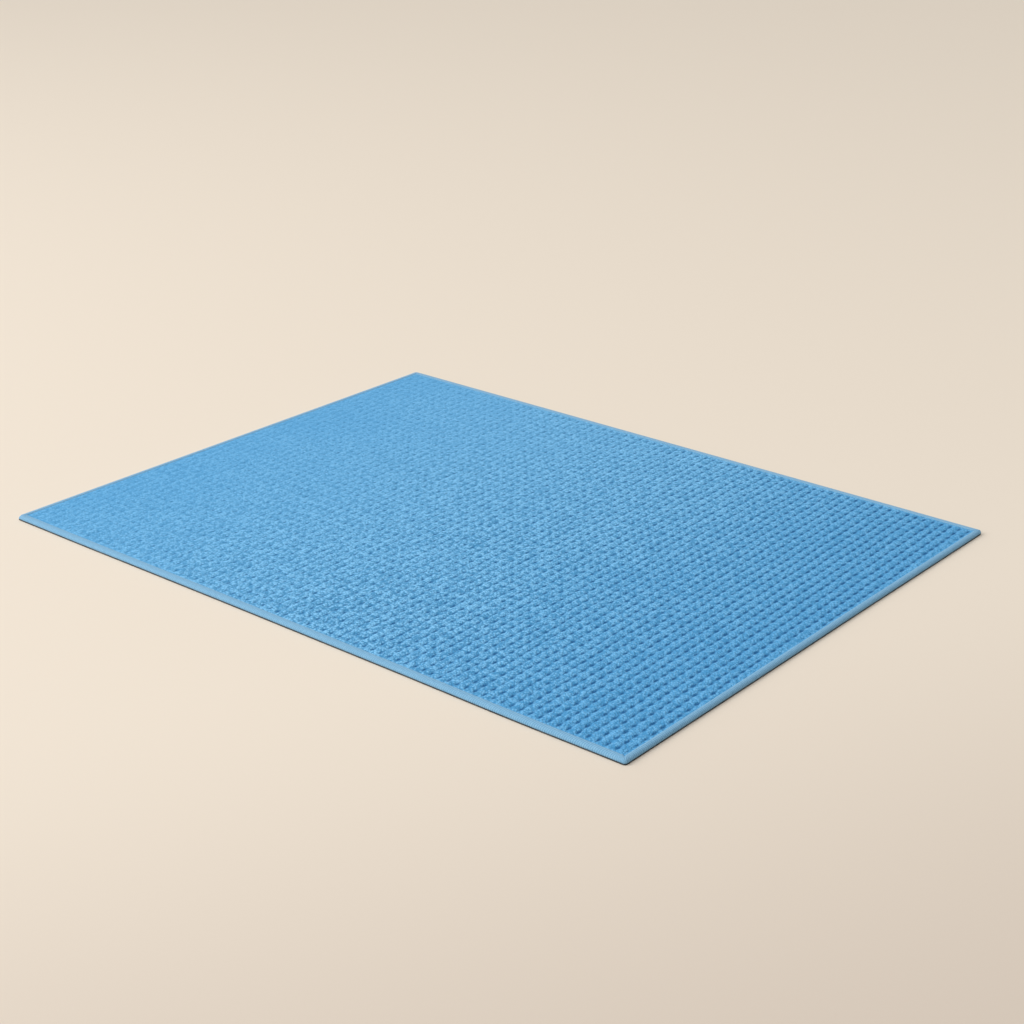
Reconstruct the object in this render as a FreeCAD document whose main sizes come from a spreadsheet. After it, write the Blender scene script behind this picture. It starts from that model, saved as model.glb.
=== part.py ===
import FreeCAD, Part
import math
import os
import Sketcher
from FreeCAD import Placement, Rotation, Vector

# Seedling heat mat, modelled flat. The origin is on the supporting surface under the
# middle of the mat. +X runs along the long side, +Y towards the edge with the inlet,
# +Z up. Lengths are in millimetres.

SIZES = {
    # Outline and edge binding
    "mat_length": 700.0,
    "mat_width": 550.0,
    "corner_radius": 2.5,
    "tape_width": 6.0,
    "tape_thick": 0.4,
    "tape_round": 1.2,
    "seam_inset": 4.8,
    "seam_groove": 0.5,
    "thread_wide": 0.4,
    "thread_thick": 0.2,
    # Layers, from the supporting surface up
    "base_thick": 1.4,
    "film_thick": 0.15,
    "foam_thick": 1.3,
    "carrier_thick": 0.15,
    "foil_thick": 0.1,
    "face_thick": 1.25,
    # Heating wire, laid in passes along X
    "wire_wide": 1.0,
    "core_wide": 0.4,
    "groove_play": 0.1,
    "wire_passes": 20.0,
    "wire_pitch": 24.0,
    "wire_front": 35.0,
    "wire_left": 60.0,
    "wire_right": 36.0,
    "strip_wide": 12.0,
    "strip_thick": 0.1,
    "strip_count": 4.0,
    # Splices between the heating wire and the cold leads
    "bare_end": 3.0,
    "ferrule_wide": 0.9,
    "sleeve_wide": 1.2,
    "sleeve_long": 12.0,
    "lead_bend": 5.0,
    "live_column": 34.0,
    "return_column": 20.0,
    "live_row": 37.0,
    "return_row": 27.0,
    # Inlet socket in the back edge
    "inlet_centre": 60.0,
    "inlet_wide": 22.0,
    "inlet_deep": 14.0,
    "inlet_recess": 0.3,
    "socket_wide": 15.0,
    "socket_deep": 8.0,
    "socket_high": 1.2,
    "potting_wide": 18.0,
    "potting_deep": 4.0,
    "pin_wide": 1.6,
    "pin_thick": 0.5,
    "pin_pitch": 7.0,
    "pin_reach": 6.0,
    "pin_tail": 2.0,
    # Thermal cutout in the return lead
    "case_long": 12.0,
    "case_wide": 5.0,
    "case_high": 0.85,
    "case_wall": 0.5,
    "case_floor": 0.25,
    "lid_thick": 0.25,
    "disc_wide": 3.4,
    "disc_thick": 0.1,
    "tab_long": 6.0,
    "tab_wide": 2.4,
    "tab_thick": 0.15,
    "tab_inside": 2.0,
    "pocket_play": 0.1,
}

# The radius of the heating wire's turns, as a share of the pitch
TURN_SHARE = 0.48

# How exactly a rounded edge is found and a swept volume has to match, in mm and as a share
EDGE_MATCH = 0.001
VOLUME_MATCH = 0.01

doc = FreeCAD.newDocument("heat_mat")
sheet = doc.addObject("Spreadsheet::Sheet", "Sizes")
for row, (alias, value) in enumerate(SIZES.items(), start=1):
    sheet.set(f"A{row}", alias)
    sheet.set(f"B{row}", str(value))
    sheet.setAlias(f"B{row}", alias)
doc.recompute()

# Heights of the layers, as expressions on the sheet
TAPE_FOOT = "Sizes.base_thick - Sizes.tape_thick"
LOWER_FILM = "Sizes.base_thick"
FOAM = f"{LOWER_FILM} + Sizes.film_thick"
CARRIER = f"{FOAM} + Sizes.foam_thick"
FOIL = f"{CARRIER} + Sizes.carrier_thick"
UPPER_FILM = f"{FOIL} + Sizes.foil_thick"
FACE = f"{UPPER_FILM} + Sizes.film_thick"
TOP = f"{FACE} + Sizes.face_thick"
TAPE_INSIDE = f"{TOP} - Sizes.tape_thick"
WIRE_TOP = f"{CARRIER} - Sizes.strip_thick"
WIRE_AXIS = f"{WIRE_TOP} - Sizes.wire_wide / 2"

# Plan positions of the inlet and of the leads' corners
INLET_X = "-Sizes.mat_length / 2 + Sizes.inlet_centre"
INLET_MOUTH = "Sizes.mat_width / 2 - Sizes.inlet_recess"
INLET_REAR = f"{INLET_MOUTH} - Sizes.inlet_deep"
PIN_ROOT = f"{INLET_REAR} + Sizes.potting_deep - Sizes.pin_tail"
INLET_HIGH = f"{FACE} - ({LOWER_FILM})"
RETURN_X = "-Sizes.mat_length / 2 + Sizes.return_column"

# Plan of the heating wire's passes
PASS_LEFT = "-Sizes.mat_length / 2 + Sizes.wire_left"
PASS_RIGHT = "Sizes.mat_length / 2 - Sizes.wire_right"
FIRST_PASS = "-Sizes.mat_width / 2 + Sizes.wire_front"
LAST_PASS = f"{FIRST_PASS} + (Sizes.wire_passes - 1) * Sizes.wire_pitch"
SPLICE_X = f"{PASS_LEFT} - Sizes.bare_end"


def worth(expression):
    """The value of an expression on the sheet, in millimetres."""
    found = sheet.evalExpression(expression)
    return float(getattr(found, "Value", found))


def outline(body, name, corners, bottom):
    """A closed sketch of straight sides at a height, each corner bound to the sheet."""
    plane = next(o for o in body.Origin.OriginFeatures if o.Role == "XY_Plane")
    sketch = body.newObject("Sketcher::SketchObject", name)
    sketch.AttachmentSupport = [(plane, "")]
    sketch.MapMode = "FlatFace"
    sketch.setExpression("AttachmentOffset.Base.z", bottom)
    points = [Vector(worth(x), worth(y), 0) for x, y in corners]
    for place, point in enumerate(points):
        after = points[(place + 1) % len(points)]
        sketch.addGeometry(Part.LineSegment(point, after), False)
    for place, (x, y) in enumerate(corners):
        before = (place - 1) % len(points)
        sketch.addConstraint(Sketcher.Constraint("Coincident", before, 2, place, 1))
        for kind, expression in (("DistanceX", x), ("DistanceY", y)):
            entry = sketch.addConstraint(
                Sketcher.Constraint(kind, -1, 1, place, 1, worth(expression))
            )
            sketch.setExpression(f"Constraints[{entry}]", expression)
    return sketch


def rectangle(long, wide, centre_x="0", centre_y="0"):
    """The corners of a rectangle, as expressions, anticlockwise."""
    half_x = f"({long}) / 2"
    half_y = f"({wide}) / 2"
    signs = (("-", "-"), ("+", "-"), ("+", "+"), ("-", "+"))
    return [
        (f"{centre_x} {sx} {half_x}", f"{centre_y} {sy} {half_y}") for sx, sy in signs
    ]


def inset(by):
    """The corners of the mat's outline moved inwards."""
    return rectangle(f"Sizes.mat_length - 2 * ({by})", f"Sizes.mat_width - 2 * ({by})")


def pad(body, corners, bottom, thick):
    """Adds a flat slab to a body."""
    feature = body.newObject("PartDesign::Pad", "Pad")
    feature.Profile = outline(body, "Outline", corners, bottom)
    feature.setExpression("Length", thick)
    doc.recompute()
    return feature


def pocket(body, corners, top, depth):
    """Cuts a slab out of a body, from a height down, and proves that it cut."""
    before = body.Shape.Volume
    feature = body.newObject("PartDesign::Pocket", "Pocket")
    feature.Profile = outline(body, "Opening", corners, top)
    feature.setExpression("Length", depth)
    doc.recompute()
    if not body.Shape.Volume < before:
        raise RuntimeError(f"a pocket in {body.Label} cuts nothing")
    return feature


def fillet(body, feature, wanted, radius):
    """Rounds the edges of a feature that a test picks."""
    found = [f"Edge{n}" for n, edge in enumerate(feature.Shape.Edges, 1) if wanted(edge)]
    rounded = body.newObject("PartDesign::Fillet", "Fillet")
    rounded.Base = (feature, found)
    rounded.setExpression("Radius", radius)
    doc.recompute()
    return rounded


def upright(edge):
    """True of an edge that runs along Z."""
    box = edge.BoundBox
    return box.ZLength > 10 * max(box.XLength, box.YLength)


def level_at(height, inset_by):
    """A test for the edges at a height on an outline inset from the mat's."""
    across = worth(f"Sizes.mat_width / 2 - ({inset_by})")
    along = worth(f"Sizes.mat_length / 2 - ({inset_by})")
    level = worth(height)

    def wanted(edge):
        box = edge.BoundBox
        flat = max(abs(box.ZMin - level), abs(box.ZMax - level)) < EDGE_MATCH
        short_x = abs(max(abs(box.XMin), abs(box.XMax)) - along)
        short_y = abs(max(abs(box.YMin), abs(box.YMax)) - across)
        return flat and min(short_x, short_y) < EDGE_MATCH

    return wanted


def body_named(label):
    """A new body with its own label."""
    body = doc.addObject("PartDesign::Body", label)
    body.Label = label
    return body


def layer(label, bottom, thick, by="Sizes.tape_thick"):
    """One full sheet of the laminate, its upright corners rounded inside the binding."""
    body = body_named(label)
    slab = pad(body, inset(by), bottom, thick)
    fillet(body, slab, upright, f"Sizes.corner_radius - ({by})")
    return body


def block(label, long, wide, high, centre_x, centre_y, bottom):
    """A box by its size and the middle of its underside, bound to the sheet."""
    box = doc.addObject("Part::Box", label)
    box.setExpression("Length", long)
    box.setExpression("Width", wide)
    box.setExpression("Height", high)
    box.setExpression("Placement.Base.x", f"{centre_x} - ({long}) / 2")
    box.setExpression("Placement.Base.y", f"{centre_y} - ({wide}) / 2")
    box.setExpression("Placement.Base.z", bottom)
    return box


def cut(label, base, *tools):
    """A piece with one or more shapes taken out of it, and a proof that each cut."""
    for place, tool in enumerate(tools):
        result = doc.addObject("Part::Cut", label if tool is tools[-1] else f"{label}_{place}")
        result.Base = base
        result.Tool = tool
        doc.recompute()
        if not result.Shape.Volume < base.Shape.Volume:
            raise RuntimeError(f"{tool.Label} takes nothing out of {label}")
        base = result
    return base


def group(label, *members):
    """Separate solids that share one node."""
    gathered = doc.addObject("Part::Compound", label)
    gathered.Links = list(members)
    doc.recompute()
    return gathered


def feature(label, shape):
    """An object that holds a shape worked out from the sheet's values."""
    made = doc.addObject("Part::Feature", label)
    made.Shape = shape
    made.Placement = Placement(Vector(0, 0, 0), Rotation())
    return made


def route(points, radius):
    """A path through points, straight between them and rounded at each corner."""
    edges = []
    start = points[0]
    for corner, after in zip(points[1:-1], points[2:]):
        arriving = (corner - start).normalize()
        leaving = (after - corner).normalize()
        turn = arriving.getAngle(leaving)
        reach = radius * math.tan(turn / 2)
        entry = corner - arriving * reach
        away = corner + leaving * reach
        inward = (leaving - arriving).normalize()
        middle = corner + inward * (radius / math.cos(turn / 2) - radius)
        edges.append(Part.LineSegment(start, entry).toShape())
        edges.append(Part.Arc(entry, middle, away).toShape())
        start = away
    edges.append(Part.LineSegment(start, points[-1]).toShape())
    return Part.Wire(edges)


def swept(path, section):
    """A solid whose section follows a path; its volume is checked against the length."""
    solid = path.makePipeShell([section], True, False)
    expected = Part.Face(section).Area * path.Length
    if abs(solid.Volume - expected) > VOLUME_MATCH * expected:
        raise RuntimeError(f"a swept solid holds {solid.Volume}, not {expected}")
    return solid


def start_of(path):
    """The start of a path and its direction there."""
    first = path.Edges[0]
    return first.valueAt(first.FirstParameter), first.tangentAt(first.FirstParameter)


def tube(path, wide):
    """A round rod along a path."""
    start, direction = start_of(path)
    return swept(path, Part.Wire(Part.Circle(start, direction, wide / 2).toShape()))


def channel(path, wide, top, floor):
    """A square groove along a level path, from one height down to another."""
    start, direction = start_of(path)
    side = direction.cross(Vector(0, 0, 1)) * (wide / 2)
    rise = Vector(0, 0, top - start.z)
    drop = Vector(0, 0, floor - start.z)
    offsets = [side + drop, side + rise, rise - side, drop - side]
    corners = [start + offset for offset in offsets]
    return swept(path, Part.makePolygon(corners + corners[:1]))


# ---------------------------------------------------------------- plan of the wires

wire_z = worth(WIRE_AXIS)
left_x = worth(PASS_LEFT)
right_x = worth(PASS_RIGHT)
front_y = worth(FIRST_PASS)
back_y = worth(LAST_PASS)
pitch = worth("Sizes.wire_pitch")
bare = worth("Sizes.bare_end")
bend = worth("Sizes.lead_bend")


def at(x, y):
    """A point on the wires' level."""
    return Vector(x, y, wire_z)


turns = []
for index in range(int(worth("Sizes.wire_passes"))):
    y = front_y + index * pitch
    ends = [at(left_x, y), at(right_x, y)]
    turns.extend(ends if index % 2 == 0 else reversed(ends))
wire_route = route(turns, TURN_SHARE * pitch)

lead_x = worth(SPLICE_X) - bare
live_x = worth("-Sizes.mat_length / 2 + Sizes.live_column")
return_x = worth(RETURN_X)
live_y = worth("Sizes.mat_width / 2 - Sizes.live_row")
return_y = worth("Sizes.mat_width / 2 - Sizes.return_row")
pin_y = worth(PIN_ROOT)
live_pin = worth(f"{INLET_X} + Sizes.pin_pitch / 2")
return_pin = worth(f"{INLET_X} - Sizes.pin_pitch / 2")
tab_reach = worth("Sizes.case_long / 2 + Sizes.tab_long - Sizes.tab_inside")

live_route = route(
    [
        at(lead_x, back_y),
        at(live_x, back_y),
        at(live_x, live_y),
        at(live_pin, live_y),
        at(live_pin, pin_y),
    ],
    bend,
)
return_lower_route = route(
    [at(lead_x, front_y), at(return_x, front_y), at(return_x, -tab_reach)], bend
)
return_upper_route = route(
    [
        at(return_x, tab_reach),
        at(return_x, return_y),
        at(return_pin, return_y),
        at(return_pin, pin_y),
    ],
    bend,
)
splices = [at(worth(SPLICE_X), front_y), at(worth(SPLICE_X), back_y)]

# ---------------------------------------------------------------- base and lower film

base_sheet = body_named("base_sheet")
lip = pad(base_sheet, inset("0"), "0", TAPE_FOOT)
fillet(base_sheet, lip, upright, "Sizes.corner_radius")
pad(base_sheet, inset("Sizes.tape_width"), "0", "Sizes.base_thick")

# The inlet stands in a notch through every layer from the base up to the face
notch_deep = "Sizes.inlet_deep + Sizes.tape_thick"
inlet_space = block(
    "inlet_space",
    "Sizes.inlet_wide",
    notch_deep,
    INLET_HIGH,
    INLET_X,
    f"{INLET_REAR} + ({notch_deep}) / 2",
    LOWER_FILM,
)
doc.recompute()
lower_film = cut(
    "lower_film", layer("lower_film_sheet", LOWER_FILM, "Sizes.film_thick"), inlet_space
)

# ---------------------------------------------------------------- heating wire

core_wide = worth("Sizes.core_wide")
wire_wide = worth("Sizes.wire_wide")
groove_wide = wire_wide + worth("Sizes.groove_play")
foam_top = worth(CARRIER)
groove_floor = wire_z - groove_wide / 2


def bare_core(end):
    """A length of bare conductor along +X, from the middle of a splice or into it."""
    path = Part.Wire(Part.LineSegment(end, end + Vector(bare, 0, 0)).toShape())
    return tube(path, core_wide)


wire_core = tube(wire_route, core_wide)
heating_wire_core = feature(
    "heating_wire_core", wire_core.fuse([bare_core(splice) for splice in splices]).removeSplitter()
)
heating_wire_cover = feature("heating_wire_cover", tube(wire_route, wire_wide).cut(wire_core))


def lead(label, path, bare_at_start):
    """An insulated lead, its conductor bared where it enters a splice."""
    solid = tube(path, wire_wide)
    if bare_at_start:
        solid = solid.fuse(bare_core(path.Vertexes[0].Point))
    return feature(label, solid)


live_lead = lead("live_lead", live_route, True)
return_lead_lower = lead("return_lead_lower", return_lower_route, True)
return_lead_upper = lead("return_lead_upper", return_upper_route, False)


def ring(centre, outer, inner, length):
    """A round sleeve along X about a centre."""
    start = centre - Vector(length / 2, 0, 0)
    along = Vector(1, 0, 0)
    whole = Part.makeCylinder(outer / 2, length, start, along)
    return whole.cut(Part.makeCylinder(inner / 2, length, start, along))


ferrule_wide = worth("Sizes.ferrule_wide")
sleeve_wide = worth("Sizes.sleeve_wide")
sleeve_long = worth("Sizes.sleeve_long")
splice_ferrules = feature(
    "splice_ferrules",
    Part.makeCompound([ring(p, ferrule_wide, core_wide, 2 * bare) for p in splices]),
)
splice_sleeves = feature(
    "splice_sleeves",
    Part.makeCompound([ring(p, sleeve_wide, wire_wide, sleeve_long) for p in splices]),
)

# Cloth tape strips hold the passes at their pitch
strip_count = int(worth("Sizes.strip_count"))
strip_step = f"({PASS_RIGHT} - ({PASS_LEFT})) / Sizes.strip_count"
wire_strips = group(
    "wire_strips",
    *[
        block(
            f"wire_strip_{index}",
            "Sizes.strip_wide",
            "Sizes.wire_passes * Sizes.wire_pitch",
            "Sizes.strip_thick",
            f"{PASS_LEFT} + {index + 0.5} * {strip_step}",
            f"({FIRST_PASS} + {LAST_PASS}) / 2",
            WIRE_TOP,
        )
        for index in range(strip_count)
    ],
)

# ---------------------------------------------------------------- thermal cutout

case_bottom = f"{WIRE_AXIS} - (Sizes.case_high + Sizes.lid_thick) / 2"
case_top = f"{case_bottom} + Sizes.case_high"
tab_bottom = f"{WIRE_AXIS} - Sizes.tab_thick / 2"
cavity_long = "Sizes.case_long - 2 * Sizes.case_wall"
cavity_wide = "Sizes.case_wide - 2 * Sizes.case_wall"

cutout_shell = body_named("cutout_shell")
case_outline = rectangle("Sizes.case_wide", "Sizes.case_long", RETURN_X)
cavity = rectangle(cavity_wide, cavity_long, RETURN_X)
pad(cutout_shell, case_outline, case_bottom, "Sizes.case_high")
pocket(cutout_shell, cavity, case_top, "Sizes.case_high - Sizes.case_floor")
cutout_lid = body_named("cutout_lid")
pad(cutout_lid, case_outline, case_top, "Sizes.lid_thick")

tab_centre = "(Sizes.case_long + Sizes.tab_long) / 2 - Sizes.tab_inside"
tabs = [
    block(
        f"cutout_tab_{side}",
        "Sizes.tab_wide",
        "Sizes.tab_long",
        "Sizes.tab_thick",
        RETURN_X,
        f"{sign}({tab_centre})",
        tab_bottom,
    )
    for side, sign in (("front", "-"), ("back", ""))
]
cutout_tabs = group("cutout_tabs", *tabs)
cutout_case = cut("cutout_case", cutout_shell, cutout_tabs)

# The bimetal disc rests on the case's floor, under the tabs
cutout_disc = doc.addObject("Part::Cylinder", "cutout_disc")
cutout_disc.setExpression("Radius", "Sizes.disc_wide / 2")
cutout_disc.setExpression("Height", "Sizes.disc_thick")
cutout_disc.setExpression("Placement.Base.x", RETURN_X)
cutout_disc.setExpression("Placement.Base.z", f"{case_bottom} + Sizes.case_floor")

# ---------------------------------------------------------------- foam

foam_blank = cut("foam_blank", layer("foam_sheet", FOAM, "Sizes.foam_thick"), inlet_space)
wire_paths = (wire_route, live_route, return_lower_route, return_upper_route)
grooves = [
    feature(f"groove_{place}", channel(path, groove_wide, foam_top, groove_floor))
    for place, path in enumerate(wire_paths)
]
splice_pockets = [
    block(
        f"splice_pocket_{side}",
        "Sizes.sleeve_long",
        "Sizes.sleeve_wide + Sizes.groove_play",
        "Sizes.foam_thick",
        SPLICE_X,
        splice_y,
        FOAM,
    )
    for side, splice_y in (("front", FIRST_PASS), ("back", LAST_PASS))
]
tabs_out = "2 * (Sizes.tab_long - Sizes.tab_inside)"
cutout_pocket = block(
    "cutout_pocket",
    "Sizes.case_wide + 2 * Sizes.pocket_play",
    f"Sizes.case_long + {tabs_out} + 2 * Sizes.pocket_play",
    "Sizes.foam_thick",
    RETURN_X,
    "0",
    FOAM,
)
doc.recompute()
insulation_foam = cut(
    "insulation_foam", foam_blank, *grooves, wire_strips, *splice_pockets, cutout_pocket
)

# ---------------------------------------------------------------- layers over the wire

heater_carrier = cut(
    "heater_carrier", layer("carrier_sheet", CARRIER, "Sizes.carrier_thick"), inlet_space
)
heat_spreader_foil = cut(
    "heat_spreader_foil", layer("foil_sheet", FOIL, "Sizes.foil_thick"), inlet_space
)
upper_film = cut(
    "upper_film", layer("upper_film_sheet", UPPER_FILM, "Sizes.film_thick"), inlet_space
)

# The face cloth is thinner under the binding, which presses it down
inner_round = "Sizes.tape_round - Sizes.tape_thick"
face_fabric = body_named("face_fabric")
border = pad(face_fabric, inset("Sizes.tape_thick"), FACE, f"{TAPE_INSIDE} - ({FACE})")
border = fillet(face_fabric, border, upright, "Sizes.corner_radius - Sizes.tape_thick")
fillet(face_fabric, border, level_at(TAPE_INSIDE, "Sizes.tape_thick"), inner_round)
pad(face_fabric, inset("Sizes.tape_width"), FACE, "Sizes.face_thick")

# ---------------------------------------------------------------- edge binding

# The four tapes are cut from one folded ring: a foot under the laminate, a flank and
# a top leg over the face cloth
tape_ring = body_named("tape_ring")
whole = pad(tape_ring, inset("0"), TAPE_FOOT, f"{TOP} - ({TAPE_FOOT})")
whole = fillet(tape_ring, whole, upright, "Sizes.corner_radius")
fillet(tape_ring, whole, level_at(TOP, "0"), "Sizes.tape_round")


def rounded_void(label, by, bottom, top, edge_round):
    """The space inside the folded tape, rounded as the face cloth's edge is."""
    void = body_named(label)
    slab = pad(void, inset(by), bottom, f"{top} - ({bottom})")
    slab = fillet(void, slab, upright, f"Sizes.corner_radius - ({by})")
    fillet(void, slab, level_at(top, by), edge_round)
    return void


tape_fold = rounded_void("tape_fold", "Sizes.tape_thick", LOWER_FILM, TAPE_INSIDE, inner_round)
tape_window = body_named("tape_window")
pad(tape_window, inset("Sizes.tape_width"), "0", f"{TOP} + 1")


def seam(label, wide):
    """A band round the mat on the seam line, sunk into the tape's top leg."""
    band = body_named(label)
    bottom = f"{TOP} - Sizes.thread_thick"
    pad(band, inset(f"Sizes.seam_inset - ({wide}) / 2"), bottom, "Sizes.thread_thick")
    pocket(band, inset(f"Sizes.seam_inset + ({wide}) / 2"), TOP, "Sizes.thread_thick")
    return band


seam_groove = seam("seam_groove", "Sizes.seam_groove")
binding_stitching = seam("binding_stitching", "Sizes.thread_wide")
tape_folded = cut("tape_folded", tape_ring, tape_fold, tape_window, seam_groove)

# Mitre wedges part the ring at the corners
front_left, front_right, back_right, back_left = inset("0")
shoulder = "(Sizes.mat_length - Sizes.mat_width) / 2"
mitre_left = (f"-{shoulder}", "0")
mitre_right = (shoulder, "0")


def mitred(label, *corners):
    """One side's tape: the folded ring between two mitre lines."""
    wedge = body_named(f"{label}_wedge")
    pad(wedge, corners, "0", TOP)
    strip = doc.addObject("Part::Common", label)
    strip.Base = tape_folded
    strip.Tool = wedge
    doc.recompute()
    return strip


binding_front = mitred("binding_front", front_left, front_right, mitre_right, mitre_left)
binding_left = mitred("binding_left", front_left, mitre_left, back_left)
binding_right = mitred("binding_right", front_right, back_right, mitre_right)
back_tape = mitred("back_tape", mitre_left, mitre_right, back_right, back_left)
binding_back = cut("binding_back", back_tape, inlet_space)

# ---------------------------------------------------------------- inlet

socket_top = f"{WIRE_AXIS} + Sizes.socket_high / 2"
housing_middle = f"{INLET_REAR} + Sizes.inlet_deep / 2"
socket_middle = f"{INLET_MOUTH} - Sizes.socket_deep / 2"
potting_middle = f"{INLET_REAR} + Sizes.potting_deep / 2"
potting_outline = rectangle("Sizes.potting_wide", "Sizes.potting_deep", INLET_X, potting_middle)

inlet_housing = body_named("inlet_housing")
pad(
    inlet_housing,
    rectangle("Sizes.inlet_wide", "Sizes.inlet_deep", INLET_X, housing_middle),
    LOWER_FILM,
    INLET_HIGH,
)
pocket(
    inlet_housing,
    rectangle("Sizes.socket_wide", "Sizes.socket_deep", INLET_X, socket_middle),
    socket_top,
    "Sizes.socket_high",
)
pocket(inlet_housing, potting_outline, socket_top, "Sizes.socket_high")

wall_behind_socket = "Sizes.inlet_deep - Sizes.potting_deep - Sizes.socket_deep"
pin_long = f"Sizes.pin_tail + {wall_behind_socket} + Sizes.pin_reach"
pin_middle = f"{PIN_ROOT} + ({pin_long}) / 2"
pins = []
for side, sign in (("live", "+"), ("return", "-")):
    pin_x = f"{INLET_X} {sign} Sizes.pin_pitch / 2"
    pocket(
        inlet_housing,
        rectangle("Sizes.pin_wide", pin_long, pin_x, pin_middle),
        f"{WIRE_AXIS} + Sizes.pin_thick / 2",
        "Sizes.pin_thick",
    )
    pins.append(
        block(
            f"inlet_pin_{side}",
            "Sizes.pin_wide",
            pin_long,
            "Sizes.pin_thick",
            pin_x,
            pin_middle,
            f"{WIRE_AXIS} - Sizes.pin_thick / 2",
        )
    )
inlet_pins = group("inlet_pins", *pins)
potting_block = body_named("potting_block")
pad(potting_block, potting_outline, f"{socket_top} - Sizes.socket_high", "Sizes.socket_high")
inlet_potting = cut("inlet_potting", potting_block, inlet_pins, live_lead, return_lead_upper)

# ---------------------------------------------------------------- export

SUB_PARTS = [
    base_sheet,
    lower_film,
    insulation_foam,
    heating_wire_core,
    heating_wire_cover,
    wire_strips,
    heater_carrier,
    heat_spreader_foil,
    upper_film,
    face_fabric,
    binding_front,
    binding_back,
    binding_left,
    binding_right,
    binding_stitching,
    inlet_housing,
    inlet_pins,
    inlet_potting,
    live_lead,
    return_lead_lower,
    return_lead_upper,
    splice_ferrules,
    splice_sleeves,
    cutout_case,
    cutout_lid,
    cutout_disc,
    cutout_tabs,
]

doc.recompute()
for item in doc.Objects:
    if {"Invalid", "Error"} & set(item.State):
        raise RuntimeError(f"{item.Label} failed: {item.State}")
os.makedirs("parts", exist_ok=True)
for item in SUB_PARTS:
    if item.Shape.isNull() or not item.Shape.isValid():
        raise RuntimeError(f"{item.Label} has no sound shape")
    item.Shape.exportStep(f"parts/{item.Label}.step")
    box = item.Shape.BoundBox
    print(
        f"{item.Label:20s} solids {len(item.Shape.Solids)} volume {item.Shape.Volume:10.1f} "
        f"z {box.ZMin:.2f} to {box.ZMax:.2f}"
    )
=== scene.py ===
import logging
import math
from dataclasses import asdict, dataclass, field, fields, replace
from enum import Enum
from functools import cache
from typing import Callable, Iterable, Optional, Union

import bmesh
import bpy
import numpy as np
from mathutils import Matrix, Vector


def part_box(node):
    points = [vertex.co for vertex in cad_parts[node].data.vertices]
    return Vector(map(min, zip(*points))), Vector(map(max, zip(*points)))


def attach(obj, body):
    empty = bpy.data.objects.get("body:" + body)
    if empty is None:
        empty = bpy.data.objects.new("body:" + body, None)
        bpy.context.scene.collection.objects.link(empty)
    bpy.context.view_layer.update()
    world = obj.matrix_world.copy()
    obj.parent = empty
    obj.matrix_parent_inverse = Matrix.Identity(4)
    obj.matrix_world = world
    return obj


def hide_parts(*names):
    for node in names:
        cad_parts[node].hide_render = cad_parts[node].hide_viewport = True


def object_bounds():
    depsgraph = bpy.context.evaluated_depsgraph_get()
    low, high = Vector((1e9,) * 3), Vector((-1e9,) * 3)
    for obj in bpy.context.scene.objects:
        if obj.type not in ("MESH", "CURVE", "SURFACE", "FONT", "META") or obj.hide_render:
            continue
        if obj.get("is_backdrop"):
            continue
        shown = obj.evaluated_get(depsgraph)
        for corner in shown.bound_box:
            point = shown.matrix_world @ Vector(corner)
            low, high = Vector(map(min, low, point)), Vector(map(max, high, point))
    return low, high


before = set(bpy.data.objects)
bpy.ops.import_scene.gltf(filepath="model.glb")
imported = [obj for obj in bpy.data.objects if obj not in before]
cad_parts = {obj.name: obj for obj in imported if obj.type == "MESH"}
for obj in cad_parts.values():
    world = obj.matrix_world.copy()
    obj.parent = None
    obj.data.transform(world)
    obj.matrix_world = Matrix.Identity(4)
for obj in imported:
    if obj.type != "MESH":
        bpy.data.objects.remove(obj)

"""The looks of a flat seedling heat mat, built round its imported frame.

Lengths are in metres. The mat lies on z = 0, with +X along its long side, +Y towards
the edge that holds the inlet and +Z out of its cloth face.
"""

Colour = tuple[float, float, float]
Span = tuple[float, float]
Section = tuple[tuple[float, float, float], ...]
Socket = bpy.types.NodeSocket
Node = bpy.types.Node
Tree = bpy.types.NodeTree
Piece = bpy.types.Object
Shape = bmesh.types.BMesh
Value = Union[float, int, Socket]

MM = 0.001
ROOT = "root"
WELD = 1e-6
CAD_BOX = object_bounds()
log = logging.getLogger("heat_mat")


# ------------------------------------------------------------------ node trees


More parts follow.
